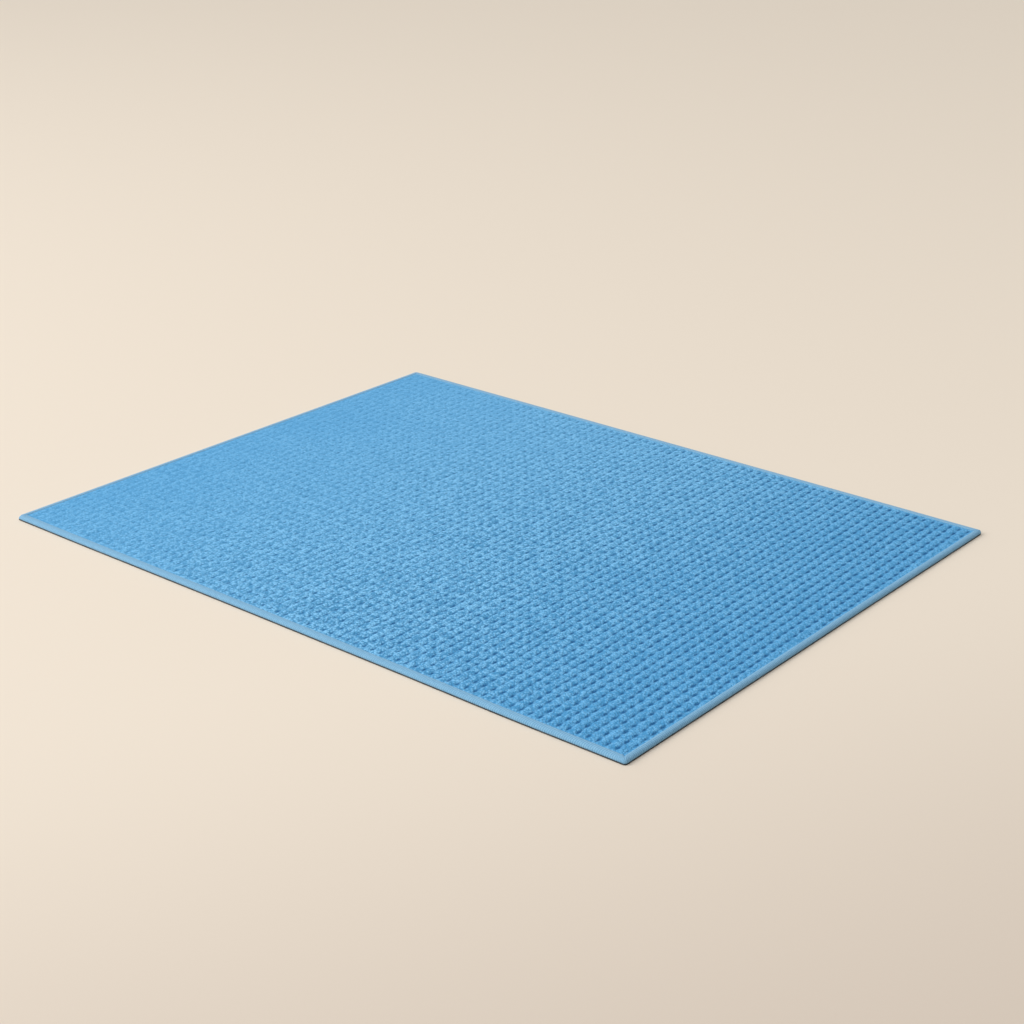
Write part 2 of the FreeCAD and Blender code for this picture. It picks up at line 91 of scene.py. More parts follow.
class Graph:
    """Adds nodes to one node tree and joins their sockets."""

    def __init__(self, tree: Tree) -> None:
        """Works on the given tree."""
        self.tree = tree

    def node(self, kind: str, **settings: object) -> Node:
        """Adds a node.

        Args:
            kind: Blender's name for the node's type.
            settings: properties to set on it.

        Returns:
            The new node.
        """
        made = self.tree.nodes.new(kind)
        for name, value in settings.items():
            setattr(made, name, value)
        return made

    def feed(self, socket: Socket, value: object) -> None:
        """Links a socket to another, or sets its value.

        Args:
            socket: the input to fill.
            value: an output socket, or a plain value.
        """
        if isinstance(value, Socket):
            self.tree.links.new(value, socket)
        else:
            socket.default_value = value

    def math(self, operation: str, *values: Value) -> Socket:
        """A Math node.

        Args:
            operation: the node's operation.
            values: its inputs, in order.

        Returns:
            The result's socket.
        """
        made = self.node("ShaderNodeMath", operation=operation)
        for socket, value in zip(made.inputs, values):
            self.feed(socket, value)
        return made.outputs[0]

    def blend(self, *parts: tuple[Socket, float]) -> Socket:
        """A sum of values, each with its weight.

        Args:
            parts: each value and its weight.

        Returns:
            The sum's socket.
        """
        total = self.math("MULTIPLY", *parts[0])
        for value, weight in parts[1:]:
            total = self.math("MULTIPLY_ADD", value, weight, total)
        return total

    def smooth(self, value: Value, low: Value, high: Value) -> Socket:
        """A smooth step from 0 at low to 1 at high.

        Args:
            value: what is measured.
            low: where the step begins.
            high: where it ends.

        Returns:
            The step's socket.
        """
        made = self.node("ShaderNodeMapRange", interpolation_type="SMOOTHSTEP")
        for name, given in (("Value", value), ("From Min", low), ("From Max", high)):
            self.feed(made.inputs[name], given)
        return made.outputs["Result"]

    def mix_colour(self, share: Value, first: object, second: object) -> Socket:
        """A mix of two colours.

        Args:
            share: how much of the second shows.
            first: a colour or a colour socket.
            second: the other one.

        Returns:
            The mixed colour's socket.
        """
        made = self.node("ShaderNodeMix", data_type="RGBA")
        for place, given in ((0, share), (6, first), (7, second)):
            given = (*given, 1.0) if isinstance(given, tuple) else given
            self.feed(made.inputs[place], given)
        return made.outputs[2]

    def noise(self, vector: Socket, scale: Value, detail: float) -> Socket:
        """The value of a Noise Texture, from 0 to 1.

        Args:
            vector: where it is read.
            scale: its scale, in cycles per metre.
            detail: how many finer layers it has.

        Returns:
            The value's socket.
        """
        made = self.node("ShaderNodeTexNoise")
        for name, given in (("Vector", vector), ("Scale", scale), ("Detail", detail)):
            self.feed(made.inputs[name], given)
        return made.outputs[0]

    def cells(self, vector: Socket, size: Socket) -> Node:
        """A Voronoi Texture.

        Args:
            vector: where it is read.
            size: how far apart its cells are.

        Returns:
            The texture's node.
        """
        made = self.node("ShaderNodeTexVoronoi")
        self.feed(made.inputs["Vector"], vector)
        self.feed(made.inputs["Scale"], self.math("DIVIDE", 1.0, size))
        return made

    def split(self, vector: Socket) -> tuple[Socket, ...]:
        """The coordinates of a vector.

        Args:
            vector: the vector's socket.

        Returns:
            The sockets of its x, y and z.
        """
        made = self.node("ShaderNodeSeparateXYZ")
        self.feed(made.inputs[0], vector)
        return tuple(made.outputs)

    def join(self, x: Value, y: Value, z: Value) -> Socket:
        """A vector made of its coordinates.

        Args:
            x: its first coordinate.
            y: its second.
            z: its third.

        Returns:
            The vector's socket.
        """
        made = self.node("ShaderNodeCombineXYZ")
        for socket, value in zip(made.inputs, (x, y, z)):
            self.feed(socket, value)
        return made.outputs[0]


def new_group(name: str, kind: str, given: dict[str, str], results: dict[str, str]) -> Graph:
    """An empty node group with named sockets.

    Args:
        name: the group's name.
        kind: GeometryNodeTree or ShaderNodeTree.
        given: the short type of each input.
        results: the short type of each output.

    Returns:
        The graph of the new group.
    """
    tree = bpy.data.node_groups.new(name, kind)
    for way, sockets in (("INPUT", given), ("OUTPUT", results)):
        for label, short in sockets.items():
            tree.interface.new_socket(name=label, in_out=way, socket_type=f"NodeSocket{short}")
    return Graph(tree)


# ------------------------------------------------------------------ shared surface effects


def new_effect(name: str, size: str) -> tuple[Graph, Socket, Socket]:
    """An empty effect group, with one input that sizes its whole pattern.

    Args:
        name: the group's name.
        size: the name of its size input.

    Returns:
        The group's graph, its Vector input and its size input.
    """
    graph = new_group(
        name,
        "ShaderNodeTree",
        {"Vector": "Vector", size: "Float"},
        {"Height": "Float", "Tone": "Float"},
    )
    given = graph.node("NodeGroupInput").outputs
    return graph, given["Vector"], given[size]


def end_effect(graph: Graph, height: Socket, tone: Socket) -> Tree:
    """Gives an effect group its outputs.

    Args:
        graph: the group's graph.
        height: the relief, about 0 to 1.
        tone: the share of the lighter colour, about 0 to 1.

    Returns:
        The finished group.
    """
    out = graph.node("NodeGroupOutput")
    graph.feed(out.inputs["Height"], height)
    graph.feed(out.inputs["Tone"], tone)
    return graph.tree


@cache
def fibre_pile() -> Tree:
    """Rounded tufts of short fibres, each with a shade of its own, under a finer fuzz.

    Returns:
        The group, with outputs Height and Tone.
    """
    graph, place, tuft = new_effect("fibre_pile", "Tuft")
    cells = graph.cells(place, tuft)
    crown = graph.math("SUBTRACT", 1.0, graph.smooth(cells.outputs["Distance"], 0.05, 0.85))
    shade = graph.node("ShaderNodeSeparateColor")
    graph.feed(shade.inputs[0], cells.outputs["Color"])
    broad = graph.noise(place, graph.math("DIVIDE", 0.38, tuft), 1.0)
    fuzz = graph.noise(place, graph.math("DIVIDE", 2.4, tuft), 2.0)
    height = graph.blend((graph.smooth(broad, 0.3, 0.7), 0.25), (crown, 0.5), (fuzz, 0.25))
    tone = graph.blend((height, 0.6), (shade.outputs[0], 0.4))
    return end_effect(graph, height, graph.smooth(tone, 0.2, 0.8))


@cache
def plain_weave() -> Tree:
    """Threads that cross on a level cloth, highest where they cross.

    Returns:
        The group, with outputs Height and Tone.
    """
    graph, place, spacing = new_effect("plain_weave", "Spacing")
    turn = graph.math("DIVIDE", math.pi, spacing)
    warp, weft = (
        graph.math("ABSOLUTE", graph.math("SINE", graph.math("MULTIPLY", side, turn)))
        for side in graph.split(place)[:2]
    )
    crown = graph.math("MULTIPLY", warp, weft)
    slub = graph.noise(place, graph.math("DIVIDE", 0.25, spacing), 2.0)
    return end_effect(graph, crown, graph.blend((slub, 0.5), (crown, 0.5)))


@cache
def fine_grain() -> Tree:
    """The matt grain of moulded or rolled polymers, with a slow drift of gloss.

    Returns:
        The group, with outputs Height and Tone.
    """
    graph, place, grain = new_effect("fine_grain", "Grain")
    cells = graph.cells(place, grain)
    drift = graph.noise(place, graph.math("DIVIDE", 0.04, grain), 3.0)
    return end_effect(graph, cells.outputs["Distance"], graph.smooth(drift, 0.3, 0.7))


@cache
def drawn_lines() -> Tree:
    """Fine lines along X, as rolling or drawing leaves on metal, under a faint stain.

    Returns:
        The group, with outputs Height and Tone.
    """
    graph, place, line = new_effect("drawn_lines", "Line")
    stretch = graph.node("ShaderNodeMapping")
    graph.feed(stretch.inputs["Vector"], place)
    stretch.inputs["Scale"].default_value = (0.04, 1.0, 1.0)
    lines = graph.noise(stretch.outputs[0], graph.math("DIVIDE", 1.0, line), 4.0)
    stain = graph.noise(place, graph.math("DIVIDE", 0.05, line), 2.0)
    return end_effect(graph, lines, graph.blend((stain, 0.4), (lines, 0.6)))


class Effect(Enum):
    """The surface effects that several finishes share, each with its size input."""

    PILE = ("Tuft", fibre_pile)
    WEAVE = ("Spacing", plain_weave)
    GRAIN = ("Grain", fine_grain)
    LINES = ("Line", drawn_lines)


# ------------------------------------------------------------------ finishes


@dataclass(frozen=True)
class Finish:
    """One material: a base colour that an effect mottles, and the effect's relief."""

    name: str
    dark: Colour
    light: Colour
    effect: Effect = Effect.GRAIN
    size: float = 0.5 * MM
    relief: float = 0.05 * MM
    rough: Span = (0.5, 0.6)
    metallic: float = 0.0
    sheen: float = 0.0
    alpha: float = 1.0
    specular: float = 0.5

    def build(self) -> bpy.types.Material:
        """The material, made on first use.

        Returns:
            A node material that reads the piece's own Object coordinates.
        """
        known = bpy.data.materials.get(self.name)
        if known:
            return known
        made = bpy.data.materials.new(self.name)
        made.use_nodes = True
        graph = Graph(made.node_tree)
        shader = made.node_tree.nodes["Principled BSDF"]
        for name, value in (
            ("Metallic", self.metallic),
            ("Alpha", self.alpha),
            ("Specular IOR Level", self.specular),
            ("Sheen Weight", self.sheen),
        ):
            shader.inputs[name].default_value = value
        self.shade(graph, shader, graph.node("ShaderNodeTexCoord").outputs["Object"])
        return made

    def laid(self, graph: Graph, place: Socket) -> tuple[Socket, Socket]:
        """The effect, placed and sized for this finish.

        Args:
            graph: the material's graph.
            place: the coordinates that the effect reads.

        Returns:
            The effect's height and its tone.
        """
        label, group = self.effect.value
        made = graph.node("ShaderNodeGroup", node_tree=group())
        graph.feed(made.inputs["Vector"], place)
        made.inputs[label].default_value = self.size
        return made.outputs["Height"], made.outputs["Tone"]

    def surface(
        self, graph: Graph, shader: Node, colour: Socket, height: Socket, tone: Socket
    ) -> None:
        """Fills the shader's colour, roughness and normal.

        Args:
            graph: the material's graph.
            shader: the Principled BSDF.
            colour: the base colour.
            height: the relief, from 0 to 1.
            tone: spreads the roughness between its two ends, from 0 to 1.
        """
        low, high = self.rough
        bump = graph.node("ShaderNodeBump")
        bump.inputs["Strength"].default_value = 1.0
        bump.inputs["Distance"].default_value = self.relief
        graph.feed(bump.inputs["Height"], height)
        for name, value in (
            ("Base Color", colour),
            ("Roughness", graph.math("MULTIPLY_ADD", tone, high - low, low)),
            ("Normal", bump.outputs[0]),
        ):
            graph.feed(shader.inputs[name], value)

    def shade(self, graph: Graph, shader: Node, place: Socket) -> None:
        """Fills the shader's patterned inputs.

        Args:
            graph: the material's graph.
            shader: the Principled BSDF.
            place: the piece's Object coordinates.
        """
        height, tone = self.laid(graph, place)
        self.surface(graph, shader, graph.mix_colour(tone, self.dark, self.light), height, tone)


@dataclass(frozen=True)
class WaffleCloth(Finish):
    """The face cloth: painted shade makes the pits of its weave deeper in colour than its ridges.

    Along X, the painted shade on the ridges or the nap starts to change at the first place
    of its span and has changed at the second.
    """

    # Painted shade in the pits, mixed in by the depth that the mesh carries
    pit: Colour = (0.016, 0.118, 0.302)
    pit_span: Span = (0.25, 1.12)
    # Painted shade that darkens the ridges towards both ends of the mat
    deep: Colour = (0.070, 0.330, 0.660)
    deep_share: float = 0.54
    deep_span: Span = (0.02, 0.36)
    far_share: float = 0.9
    far_span: Span = (-0.45, -0.05)
    nap: Span = (0.5, 1.3)
    nap_span: Span = (-0.45, 0.45)
    nap_tilt: float = -0.4
    patch_scale: float = 9.0
    patch_swing: float = 0.2

    def shade(self, graph: Graph, shader: Node, place: Socket) -> None:
        """Colours the tufted cloth, painting shade into its pits and towards both its ends.

        Args:
            graph: the material's graph.
            shader: the Principled BSDF.
            place: the piece's Object coordinates.
        """
        height, tone = self.laid(graph, place)
        depth = graph.node("ShaderNodeAttribute", attribute_name="depth").outputs["Fac"]
        along, across, _ = graph.split(place)
        # Painted shade: the ridges darken towards both ends of the mat in slow patches; near is the
        # right end's share
        patch = graph.math("SUBTRACT", graph.noise(place, self.patch_scale, 3.0), 0.5)
        patchy = graph.math("MULTIPLY_ADD", patch, self.patch_swing, along)
        near = graph.smooth(patchy, *self.deep_span)
        left_shade = graph.math("SUBTRACT", 1.0, graph.smooth(patchy, *self.far_span))
        deep = graph.math("MAXIMUM", near, graph.math("MULTIPLY", left_shade, self.far_share))
        leant = graph.math("MULTIPLY_ADD", across, self.nap_tilt, patchy)
        flat, full = self.nap
        nap = graph.math("MULTIPLY_ADD", graph.smooth(leant, *self.nap_span), full - flat, flat)
        level = graph.math("MULTIPLY_ADD", graph.math("SUBTRACT", tone, 0.5), nap, 0.5)
        pile = graph.mix_colour(level, self.dark, self.light)
        ridge = graph.mix_colour(graph.math("MULTIPLY", deep, self.deep_share), pile, self.deep)
        # Painted shade in the pits, strongest at their bottoms
        colour = graph.mix_colour(graph.smooth(depth, *self.pit_span), ridge, self.pit)
        self.surface(graph, shader, colour, graph.math("MULTIPLY", height, nap), tone)


@dataclass(frozen=True)
class RibbedTape(Finish):
    """The binding tape: each rib has a painted highlight on its crown and is fuzzed by fine fibres.
    """

    crown_share: float = 0.65

    def shade(self, graph: Graph, shader: Node, place: Socket) -> None:
        """Colours the ribs, with a painted highlight on the crowns that the tape's mesh marks.

        Args:
            graph: the material's graph.
            shader: the Principled BSDF.
            place: the piece's Object coordinates.
        """
        height, tone = self.laid(graph, place)
        # Painted highlight on the rib crowns, mixed with the pile's own tone
        crown = graph.node("ShaderNodeAttribute", attribute_name="crown").outputs["Fac"]
        highlight_and_tone = graph.blend((crown, self.crown_share), (tone, 1.0 - self.crown_share))
        self.surface(graph, shader, graph.mix_colour(highlight_and_tone, self.dark, self.light), height, tone)


FACE = WaffleCloth(
    "waffle_cloth", dark=(0.064, 0.278, 0.538), light=(0.244, 0.602, 0.950), effect=Effect.PILE,
    size=1.95 * MM, relief=0.72 * MM, rough=(0.85, 1.0), sheen=0.03, specular=0.08,
)
TAPE = RibbedTape(
    "ribbed_tape", dark=(0.115, 0.305, 0.510), light=(0.275, 0.535, 0.765), effect=Effect.PILE,
    size=0.8 * MM, relief=0.10 * MM, rough=(0.7, 0.9), sheen=0.1, specular=0.2,
)
THREAD = Finish(
    "sewing_thread", dark=(0.20, 0.44, 0.62), light=(0.32, 0.58, 0.76), effect=Effect.PILE,
    size=0.3 * MM, relief=0.03 * MM, rough=(0.5, 0.7), sheen=0.15,
)
RUBBER = Finish(
    "base_rubber", dark=(0.040, 0.047, 0.054), light=(0.079, 0.089, 0.098), size=0.6 * MM,
    relief=0.04 * MM, rough=(0.65, 0.85), specular=0.3,
)
FILM = Finish(
    "clear_film", dark=(0.74, 0.78, 0.82), light=(0.88, 0.90, 0.92), effect=Effect.LINES,
    size=2.0 * MM, relief=0.01 * MM, rough=(0.12, 0.3), alpha=0.35,
)
FOAM = Finish(
    "closed_cell_foam", dark=(0.70, 0.72, 0.73), light=(0.84, 0.85, 0.85), size=0.9 * MM,
    relief=0.12 * MM, rough=(0.75, 0.95),
)
NONWOVEN = Finish(
    "carrier_cloth", dark=(0.66, 0.65, 0.60), light=(0.84, 0.83, 0.79), effect=Effect.PILE,
    size=1.6 * MM, relief=0.05 * MM, rough=(0.8, 0.95),
)
FOIL = Finish(
    "rolled_foil", dark=(0.60, 0.61, 0.62), light=(0.82, 0.83, 0.84), effect=Effect.LINES,
    size=0.8 * MM, relief=0.01 * MM, rough=(0.18, 0.38), metallic=1.0,
)
ALLOY = Finish(
    "resistance_alloy", dark=(0.34, 0.32, 0.30), light=(0.55, 0.52, 0.49), effect=Effect.LINES,
    size=0.1 * MM, relief=0.005 * MM, rough=(0.3, 0.5), metallic=1.0,
)
SILICONE = Finish(
    "wire_silicone", dark=(0.52, 0.16, 0.05), light=(0.66, 0.24, 0.09), size=0.3 * MM,
    relief=0.01 * MM, rough=(0.45, 0.6),
)
GLASS_CLOTH = Finish(
    "glass_cloth_tape", dark=(0.62, 0.61, 0.56), light=(0.88, 0.87, 0.83), effect=Effect.WEAVE,
    size=0.5 * MM, relief=0.04 * MM, rough=(0.5, 0.75),
)
BLACK_LEAD = Finish(
    "live_lead_sheath", dark=(0.015, 0.015, 0.017), light=(0.035, 0.035, 0.038), size=0.3 * MM,
    relief=0.01 * MM, rough=(0.4, 0.55),
)
WHITE_LEAD = Finish(
    "return_lead_sheath", dark=(0.60, 0.60, 0.58), light=(0.74, 0.74, 0.72), size=0.3 * MM,
    relief=0.01 * MM, rough=(0.4, 0.55),
)
SHRINK = Finish(
    "shrunk_sleeve", dark=(0.012, 0.012, 0.014), light=(0.03, 0.03, 0.034), effect=Effect.LINES,
    size=0.6 * MM, relief=0.02 * MM, rough=(0.3, 0.5),
)
COPPER = Finish(
    "tinned_copper", dark=(0.48, 0.24, 0.14), light=(0.76, 0.46, 0.32), effect=Effect.LINES,
    size=0.1 * MM, relief=0.005 * MM, rough=(0.25, 0.45), metallic=1.0,
)
HOUSING = Finish(
    "moulded_housing", dark=(0.014, 0.015, 0.017), light=(0.032, 0.034, 0.037), size=0.15 * MM,
    relief=0.012 * MM, rough=(0.42, 0.6),
)
GILT = Finish(
    "gilt_pin", dark=(0.62, 0.42, 0.15), light=(0.86, 0.66, 0.30), effect=Effect.LINES,
    size=0.15 * MM, relief=0.004 * MM, rough=(0.18, 0.32), metallic=1.0,
)
EPOXY = Finish(
    "cast_epoxy", dark=(0.010, 0.010, 0.012), light=(0.022, 0.022, 0.026), size=0.8 * MM,
    relief=0.01 * MM, rough=(0.1, 0.22),
)
NICKEL = Finish(
    "nickel_strip", dark=(0.50, 0.48, 0.44), light=(0.72, 0.70, 0.65), effect=Effect.LINES,
    size=0.2 * MM, relief=0.004 * MM, rough=(0.2, 0.35), metallic=1.0,
)
BIMETAL = Finish(
    "rolled_bimetal", dark=(0.42, 0.40, 0.37), light=(0.64, 0.61, 0.56), effect=Effect.LINES,
    size=0.2 * MM, relief=0.004 * MM, rough=(0.28, 0.42), metallic=1.0,
)


# ------------------------------------------------------------------ shape helpers


@dataclass(frozen=True)
class Wave:
    """A slight outward or inward swing of an edge: its middle, half width and height."""

    middle: float
    width: float
    height: float

    def at(self, along: np.ndarray) -> np.ndarray:
        """How far the edge swings outwards at each place along it."""
        return self.height * np.exp(-(((along - self.middle) / self.width) ** 2))


@dataclass(frozen=True)
class Plan:
    """The mat's outline seen from above, read from the frame."""

    half_long: float
    half_wide: float
    foot: float
    corner: float = 2.6 * MM
    lap_long: float = 6.7 * MM
    lap_short: float = 5.4 * MM
    pressed_share: float = 0.5
    pressed_reach: float = 4.5 * MM
    swing_decay: int = 6
    front: tuple[Wave, ...] = (
        Wave(middle=245 * MM, width=75 * MM, height=0.9 * MM),
        Wave(middle=-60 * MM, width=110 * MM, height=-0.3 * MM),
        Wave(middle=-265 * MM, width=60 * MM, height=0.3 * MM),
    )
    right: tuple[Wave, ...] = (
        Wave(middle=-110 * MM, width=80 * MM, height=0.1 * MM),
        Wave(middle=70 * MM, width=70 * MM, height=-0.2 * MM),
    )

    @classmethod
    def from_frame(cls) -> "Plan":
        """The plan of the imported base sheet."""
        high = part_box("base_sheet")[1]
        return cls(half_long=high.x, half_wide=high.y, foot=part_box("binding_front")[0].z)

    def inset(self, amount: float) -> tuple[float, float]:
        """Half the mat's length and half its width, both drawn in by an amount."""
        return self.half_long - amount, self.half_wide - amount

    def window(self) -> tuple[float, float]:
        """Half the length and half the width of the face that the tape leaves open."""
        return self.half_long - self.lap_short, self.half_wide - self.lap_long

    def round_corners(self, points: np.ndarray) -> None:
        """Rounds the four corners in plan.

        Args:
            points: the points, moved in place.
        """
        straight = np.array(self.inset(self.corner))
        over = np.abs(points[:, :2]) - straight
        near = (over > 0).all(axis=1)
        squeeze = over[near].max(axis=1) / np.hypot(*over[near].T)
        points[near, :2] = np.sign(points[near, :2]) * (straight + over[near] * squeeze[:, None])

    def press_corner(self, points: np.ndarray) -> None:
        """Presses what stands above the base flatter at the front left corner.

        Args:
            points: the points, moved in place.
        """
        away = np.hypot(points[:, 0] + self.half_long, points[:, 1] + self.half_wide)
        share = np.clip(away / self.pressed_reach, 0, 1)
        pressed = self.pressed_share * (1 - share**2 * (3 - 2 * share))
        points[:, 2] -= np.maximum(points[:, 2] - self.foot, 0) * pressed

    def swing_edges(self, points: np.ndarray) -> None:
        """Lets the front and right edges run a little uneven.

        Args:
            points: the points, moved in place.
        """
        to_front = np.clip(-points[:, 1] / self.half_wide, 0, 1) ** self.swing_decay
        to_right = np.clip(points[:, 0] / self.half_long, 0, 1) ** self.swing_decay
        swing_front = sum(wave.at(points[:, 0]) for wave in self.front)
        swing_right = sum(wave.at(points[:, 1]) for wave in self.right)
        points[:, 0] += to_right * swing_right
        points[:, 1] -= to_front * swing_front

    def settle(self, mesh: bpy.types.Mesh) -> None:
        """Gives a straight-edged mesh the outline of the real mat.

        Args:
            mesh: a mesh in the mat's frame, changed in place.
        """
        points = np.empty(len(mesh.vertices) * 3)
        mesh.vertices.foreach_get("co", points)
        points = points.reshape(-1, 3)
        self.round_corners(points)
        self.press_corner(points)
        self.swing_edges(points)
        mesh.vertices.foreach_set("co", points.ravel())
        mesh.update()


def linked(name: str, data: bpy.types.ID) -> Piece:
    """Puts a new object in the scene.

    Args:
        name: the object's name.
        data: its mesh, camera or lamp.

    Returns:
        The object.
    """
    made = bpy.data.objects.new(name, data)
    bpy.context.scene.collection.objects.link(made)
    return made


def baked(piece: Piece) -> bpy.types.Mesh:
    """A plain copy of a piece's mesh as its modifiers leave it.

    Args:
        piece: the piece.

    Returns:
        The copy.
    """
    graph = bpy.context.evaluated_depsgraph_get()
    return bpy.data.meshes.new_from_object(
        piece.evaluated_get(graph), preserve_all_data_layers=True, depsgraph=graph
    )


def edit(piece: Piece, change: Callable[[Shape], None]) -> None:
    """Applies a change to a piece's mesh.

    Args:
        piece: the piece.
        change: what is done to its edit mesh.
    """
    shape = bmesh.new()
    shape.from_mesh(piece.data)
    change(shape)
    shape.to_mesh(piece.data)
    shape.free()
    piece.data.update()


def shade_smooth(piece: Piece, angle: float) -> None:
    """Smooths a piece's faces except across its sharp edges.

    Args:
        piece: the piece.
        angle: edges that turn more than this many degrees stay sharp.
    """
    piece.data.shade_smooth()
    piece.data.set_sharp_from_angle(angle=math.radians(angle))


def take_place(piece: Piece, slot: str, *nodes: str) -> None:
    """Lets a piece ride on the mat and stand for its frame nodes.

    Args:
        piece: the finished piece.
        slot: not used.
        nodes: the frame nodes that it replaces.
    """
    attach(piece, ROOT)
    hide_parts(*nodes)
    log.info("%s: %d faces, stands for %s", piece.name, len(piece.data.polygons), ", ".join(nodes))


def contour(shape: Shape, plan: Plan, steps: Iterable[tuple[float, float]]) -> None:
    """Carries a sheet's open edge through a row of outlines and closes it.

    Args:
        shape: an edit mesh whose open edge lies on a rectangle.
        plan: the mat's outline.
        steps: the inset and height of each outline, in order.
    """
    rim = [edge for edge in shape.edges if edge.is_boundary]
    corners = {vertex for edge in rim for vertex in edge.verts}
    reach_x = max(vertex.co.x for vertex in corners)
    reach_y = max(vertex.co.y for vertex in corners)
    for inset, height in steps:
        to_x, to_y = plan.inset(inset)
        made = bmesh.ops.extrude_edge_only(shape, edges=rim)["geom"]
        rim = [item for item in made if isinstance(item, bmesh.types.BMEdge) and item.is_boundary]
        for vertex in {v for edge in rim for v in edge.verts}:
            vertex.co.x *= to_x / reach_x
            vertex.co.y *= to_y / reach_y
            vertex.co.z = height
        reach_x, reach_y = to_x, to_y
    bmesh.ops.edgeloop_fill(shape, edges=rim)
    bmesh.ops.recalc_face_normals(shape, faces=shape.faces)


def trim(shape: Shape, half_x: float, half_y: float) -> None:
    """Cuts a level sheet to a rectangle about the origin.

    Args:
        shape: the sheet's edit mesh.
        half_x: half the rectangle's length.
        half_y: half its width.
    """
    for reach, axis in ((half_x, Vector((1, 0, 0))), (half_y, Vector((0, 1, 0)))):
        for sign in (1, -1):
            bmesh.ops.bisect_plane(
                shape,
                geom=[*shape.verts, *shape.edges, *shape.faces],
                dist=WELD,
                plane_co=axis * (sign * reach),
                plane_no=axis * sign,
                clear_outer=True,
            )


# ------------------------------------------------------------------ grown pieces


def title(name: str) -> str:
    """A field's name as a socket's label."""
    return name.replace("_", " ").title()


def new_tree(name: str, sizes: type) -> tuple[Graph, bpy.types.NodeOutputs]:
    """An empty Geometry Nodes tree with an input for each size.

    Args:
        name: the tree's name.
        sizes: a dataclass of whole numbers and floats, each of which becomes an input.

    Returns:
        The tree's graph and its inputs.
    """
    kinds = {title(item.name): item.type.__name__.title() for item in fields(sizes)}
    given = {"Geometry": "Geometry", **kinds, "Material": "Material"}
    graph = new_group(name, "GeometryNodeTree", given, {"Geometry": "Geometry"})
    return graph, graph.node("NodeGroupInput").outputs


def moved(graph: Graph, mesh: Socket, label: str, value: Socket, place: Socket) -> Socket:
    """Stores a named value on a mesh's points, then moves them.

    Args:
        graph: the tree's graph.
        mesh: the mesh.
        label: the attribute's name.
        value: the attribute.
        place: where each point goes.

    Returns:
        The moved mesh.
    """
    store = graph.node("GeometryNodeStoreNamedAttribute", data_type="FLOAT", domain="POINT")
    graph.feed(store.inputs["Geometry"], mesh)
    store.inputs["Name"].default_value = label
    graph.feed(store.inputs["Value"], value)
    set_place = graph.node("GeometryNodeSetPosition")
    graph.feed(set_place.inputs["Geometry"], store.outputs[0])
    graph.feed(set_place.inputs["Position"], place)
    return set_place.outputs[0]


def end_tree(graph: Graph, geometry: Socket, material: Socket) -> Tree:
    """Ends a tree in plain meshes dressed in one material.

    Args:
        graph: the tree's graph.
        geometry: what the tree has made.
        material: the material.

    Returns:
        The finished tree.
    """
    realize = graph.node("GeometryNodeRealizeInstances")
    graph.feed(realize.inputs[0], geometry)
    dress = graph.node("GeometryNodeSetMaterial")
    graph.feed(dress.inputs["Geometry"], realize.outputs[0])
    graph.feed(dress.inputs["Material"], material)
    graph.feed(graph.node("NodeGroupOutput").inputs[0], dress.outputs[0])
    return graph.tree


def grown(
    tree: Tree, name: str, sizes: object, finish: Finish, start: Optional[bpy.types.Mesh] = None
) -> Piece:
    """Runs a Geometry Nodes tree and keeps its result as a plain mesh.

    Args:
        tree: the node group.
        name: the new piece's name.
        sizes: the dataclass whose fields fill the tree's inputs.
        finish: what the piece is made of.
        start: the mesh that the tree is given, if it reads one.

    Returns:
        The piece, with no modifier left on it.
    """
    holder = linked(f"{name}_start", start or bpy.data.meshes.new(f"{name}_start"))
    modifier = holder.modifiers.new("grow", "NODES")
    modifier.node_group = tree
    inputs = {title(key): value for key, value in asdict(sizes).items()}
    inputs["Material"] = finish.build()
    for item in tree.interface.items_tree:
        if item.item_type == "SOCKET" and item.in_out == "INPUT" and item.name in inputs:
            modifier[item.identifier] = inputs[item.name]
    holder.update_tag()
    mesh = baked(holder)
    bpy.data.objects.remove(holder)
    mesh.name = name
    return linked(name, mesh)


# ------------------------------------------------------------------ patterned sheets


@dataclass(frozen=True)
class Pattern:
    """The columns of pits and grooves along Y that a level sheet is pressed into."""

    columns: int
    rows: int
    column_pitch: float
    row_pitch: float
    pit_depth: float
    groove_width: float
    pit_sharpness: float
    samples_across: int = 4
    samples_along: int = 4
    gather: float = 0.2
    skew: float = 0.0
    shift: float = 0.0
    wander: float = 0.0
    wander_size: float = 40.0 * MM
    uneven: float = 0.0
    depth_drift: float = 0.0
    groove_depth: float = 0.0
    lump_height: float = 0.0
    lump_size: float = 3.4 * MM
    border_level: float = 0.0
    border_width: float = 3.0 * MM
    border_drop: float = 0.0
    border_x: float = 0.0
    border_y: float = 0.0
    level: float = 0.0
    lowest: float = 0.0


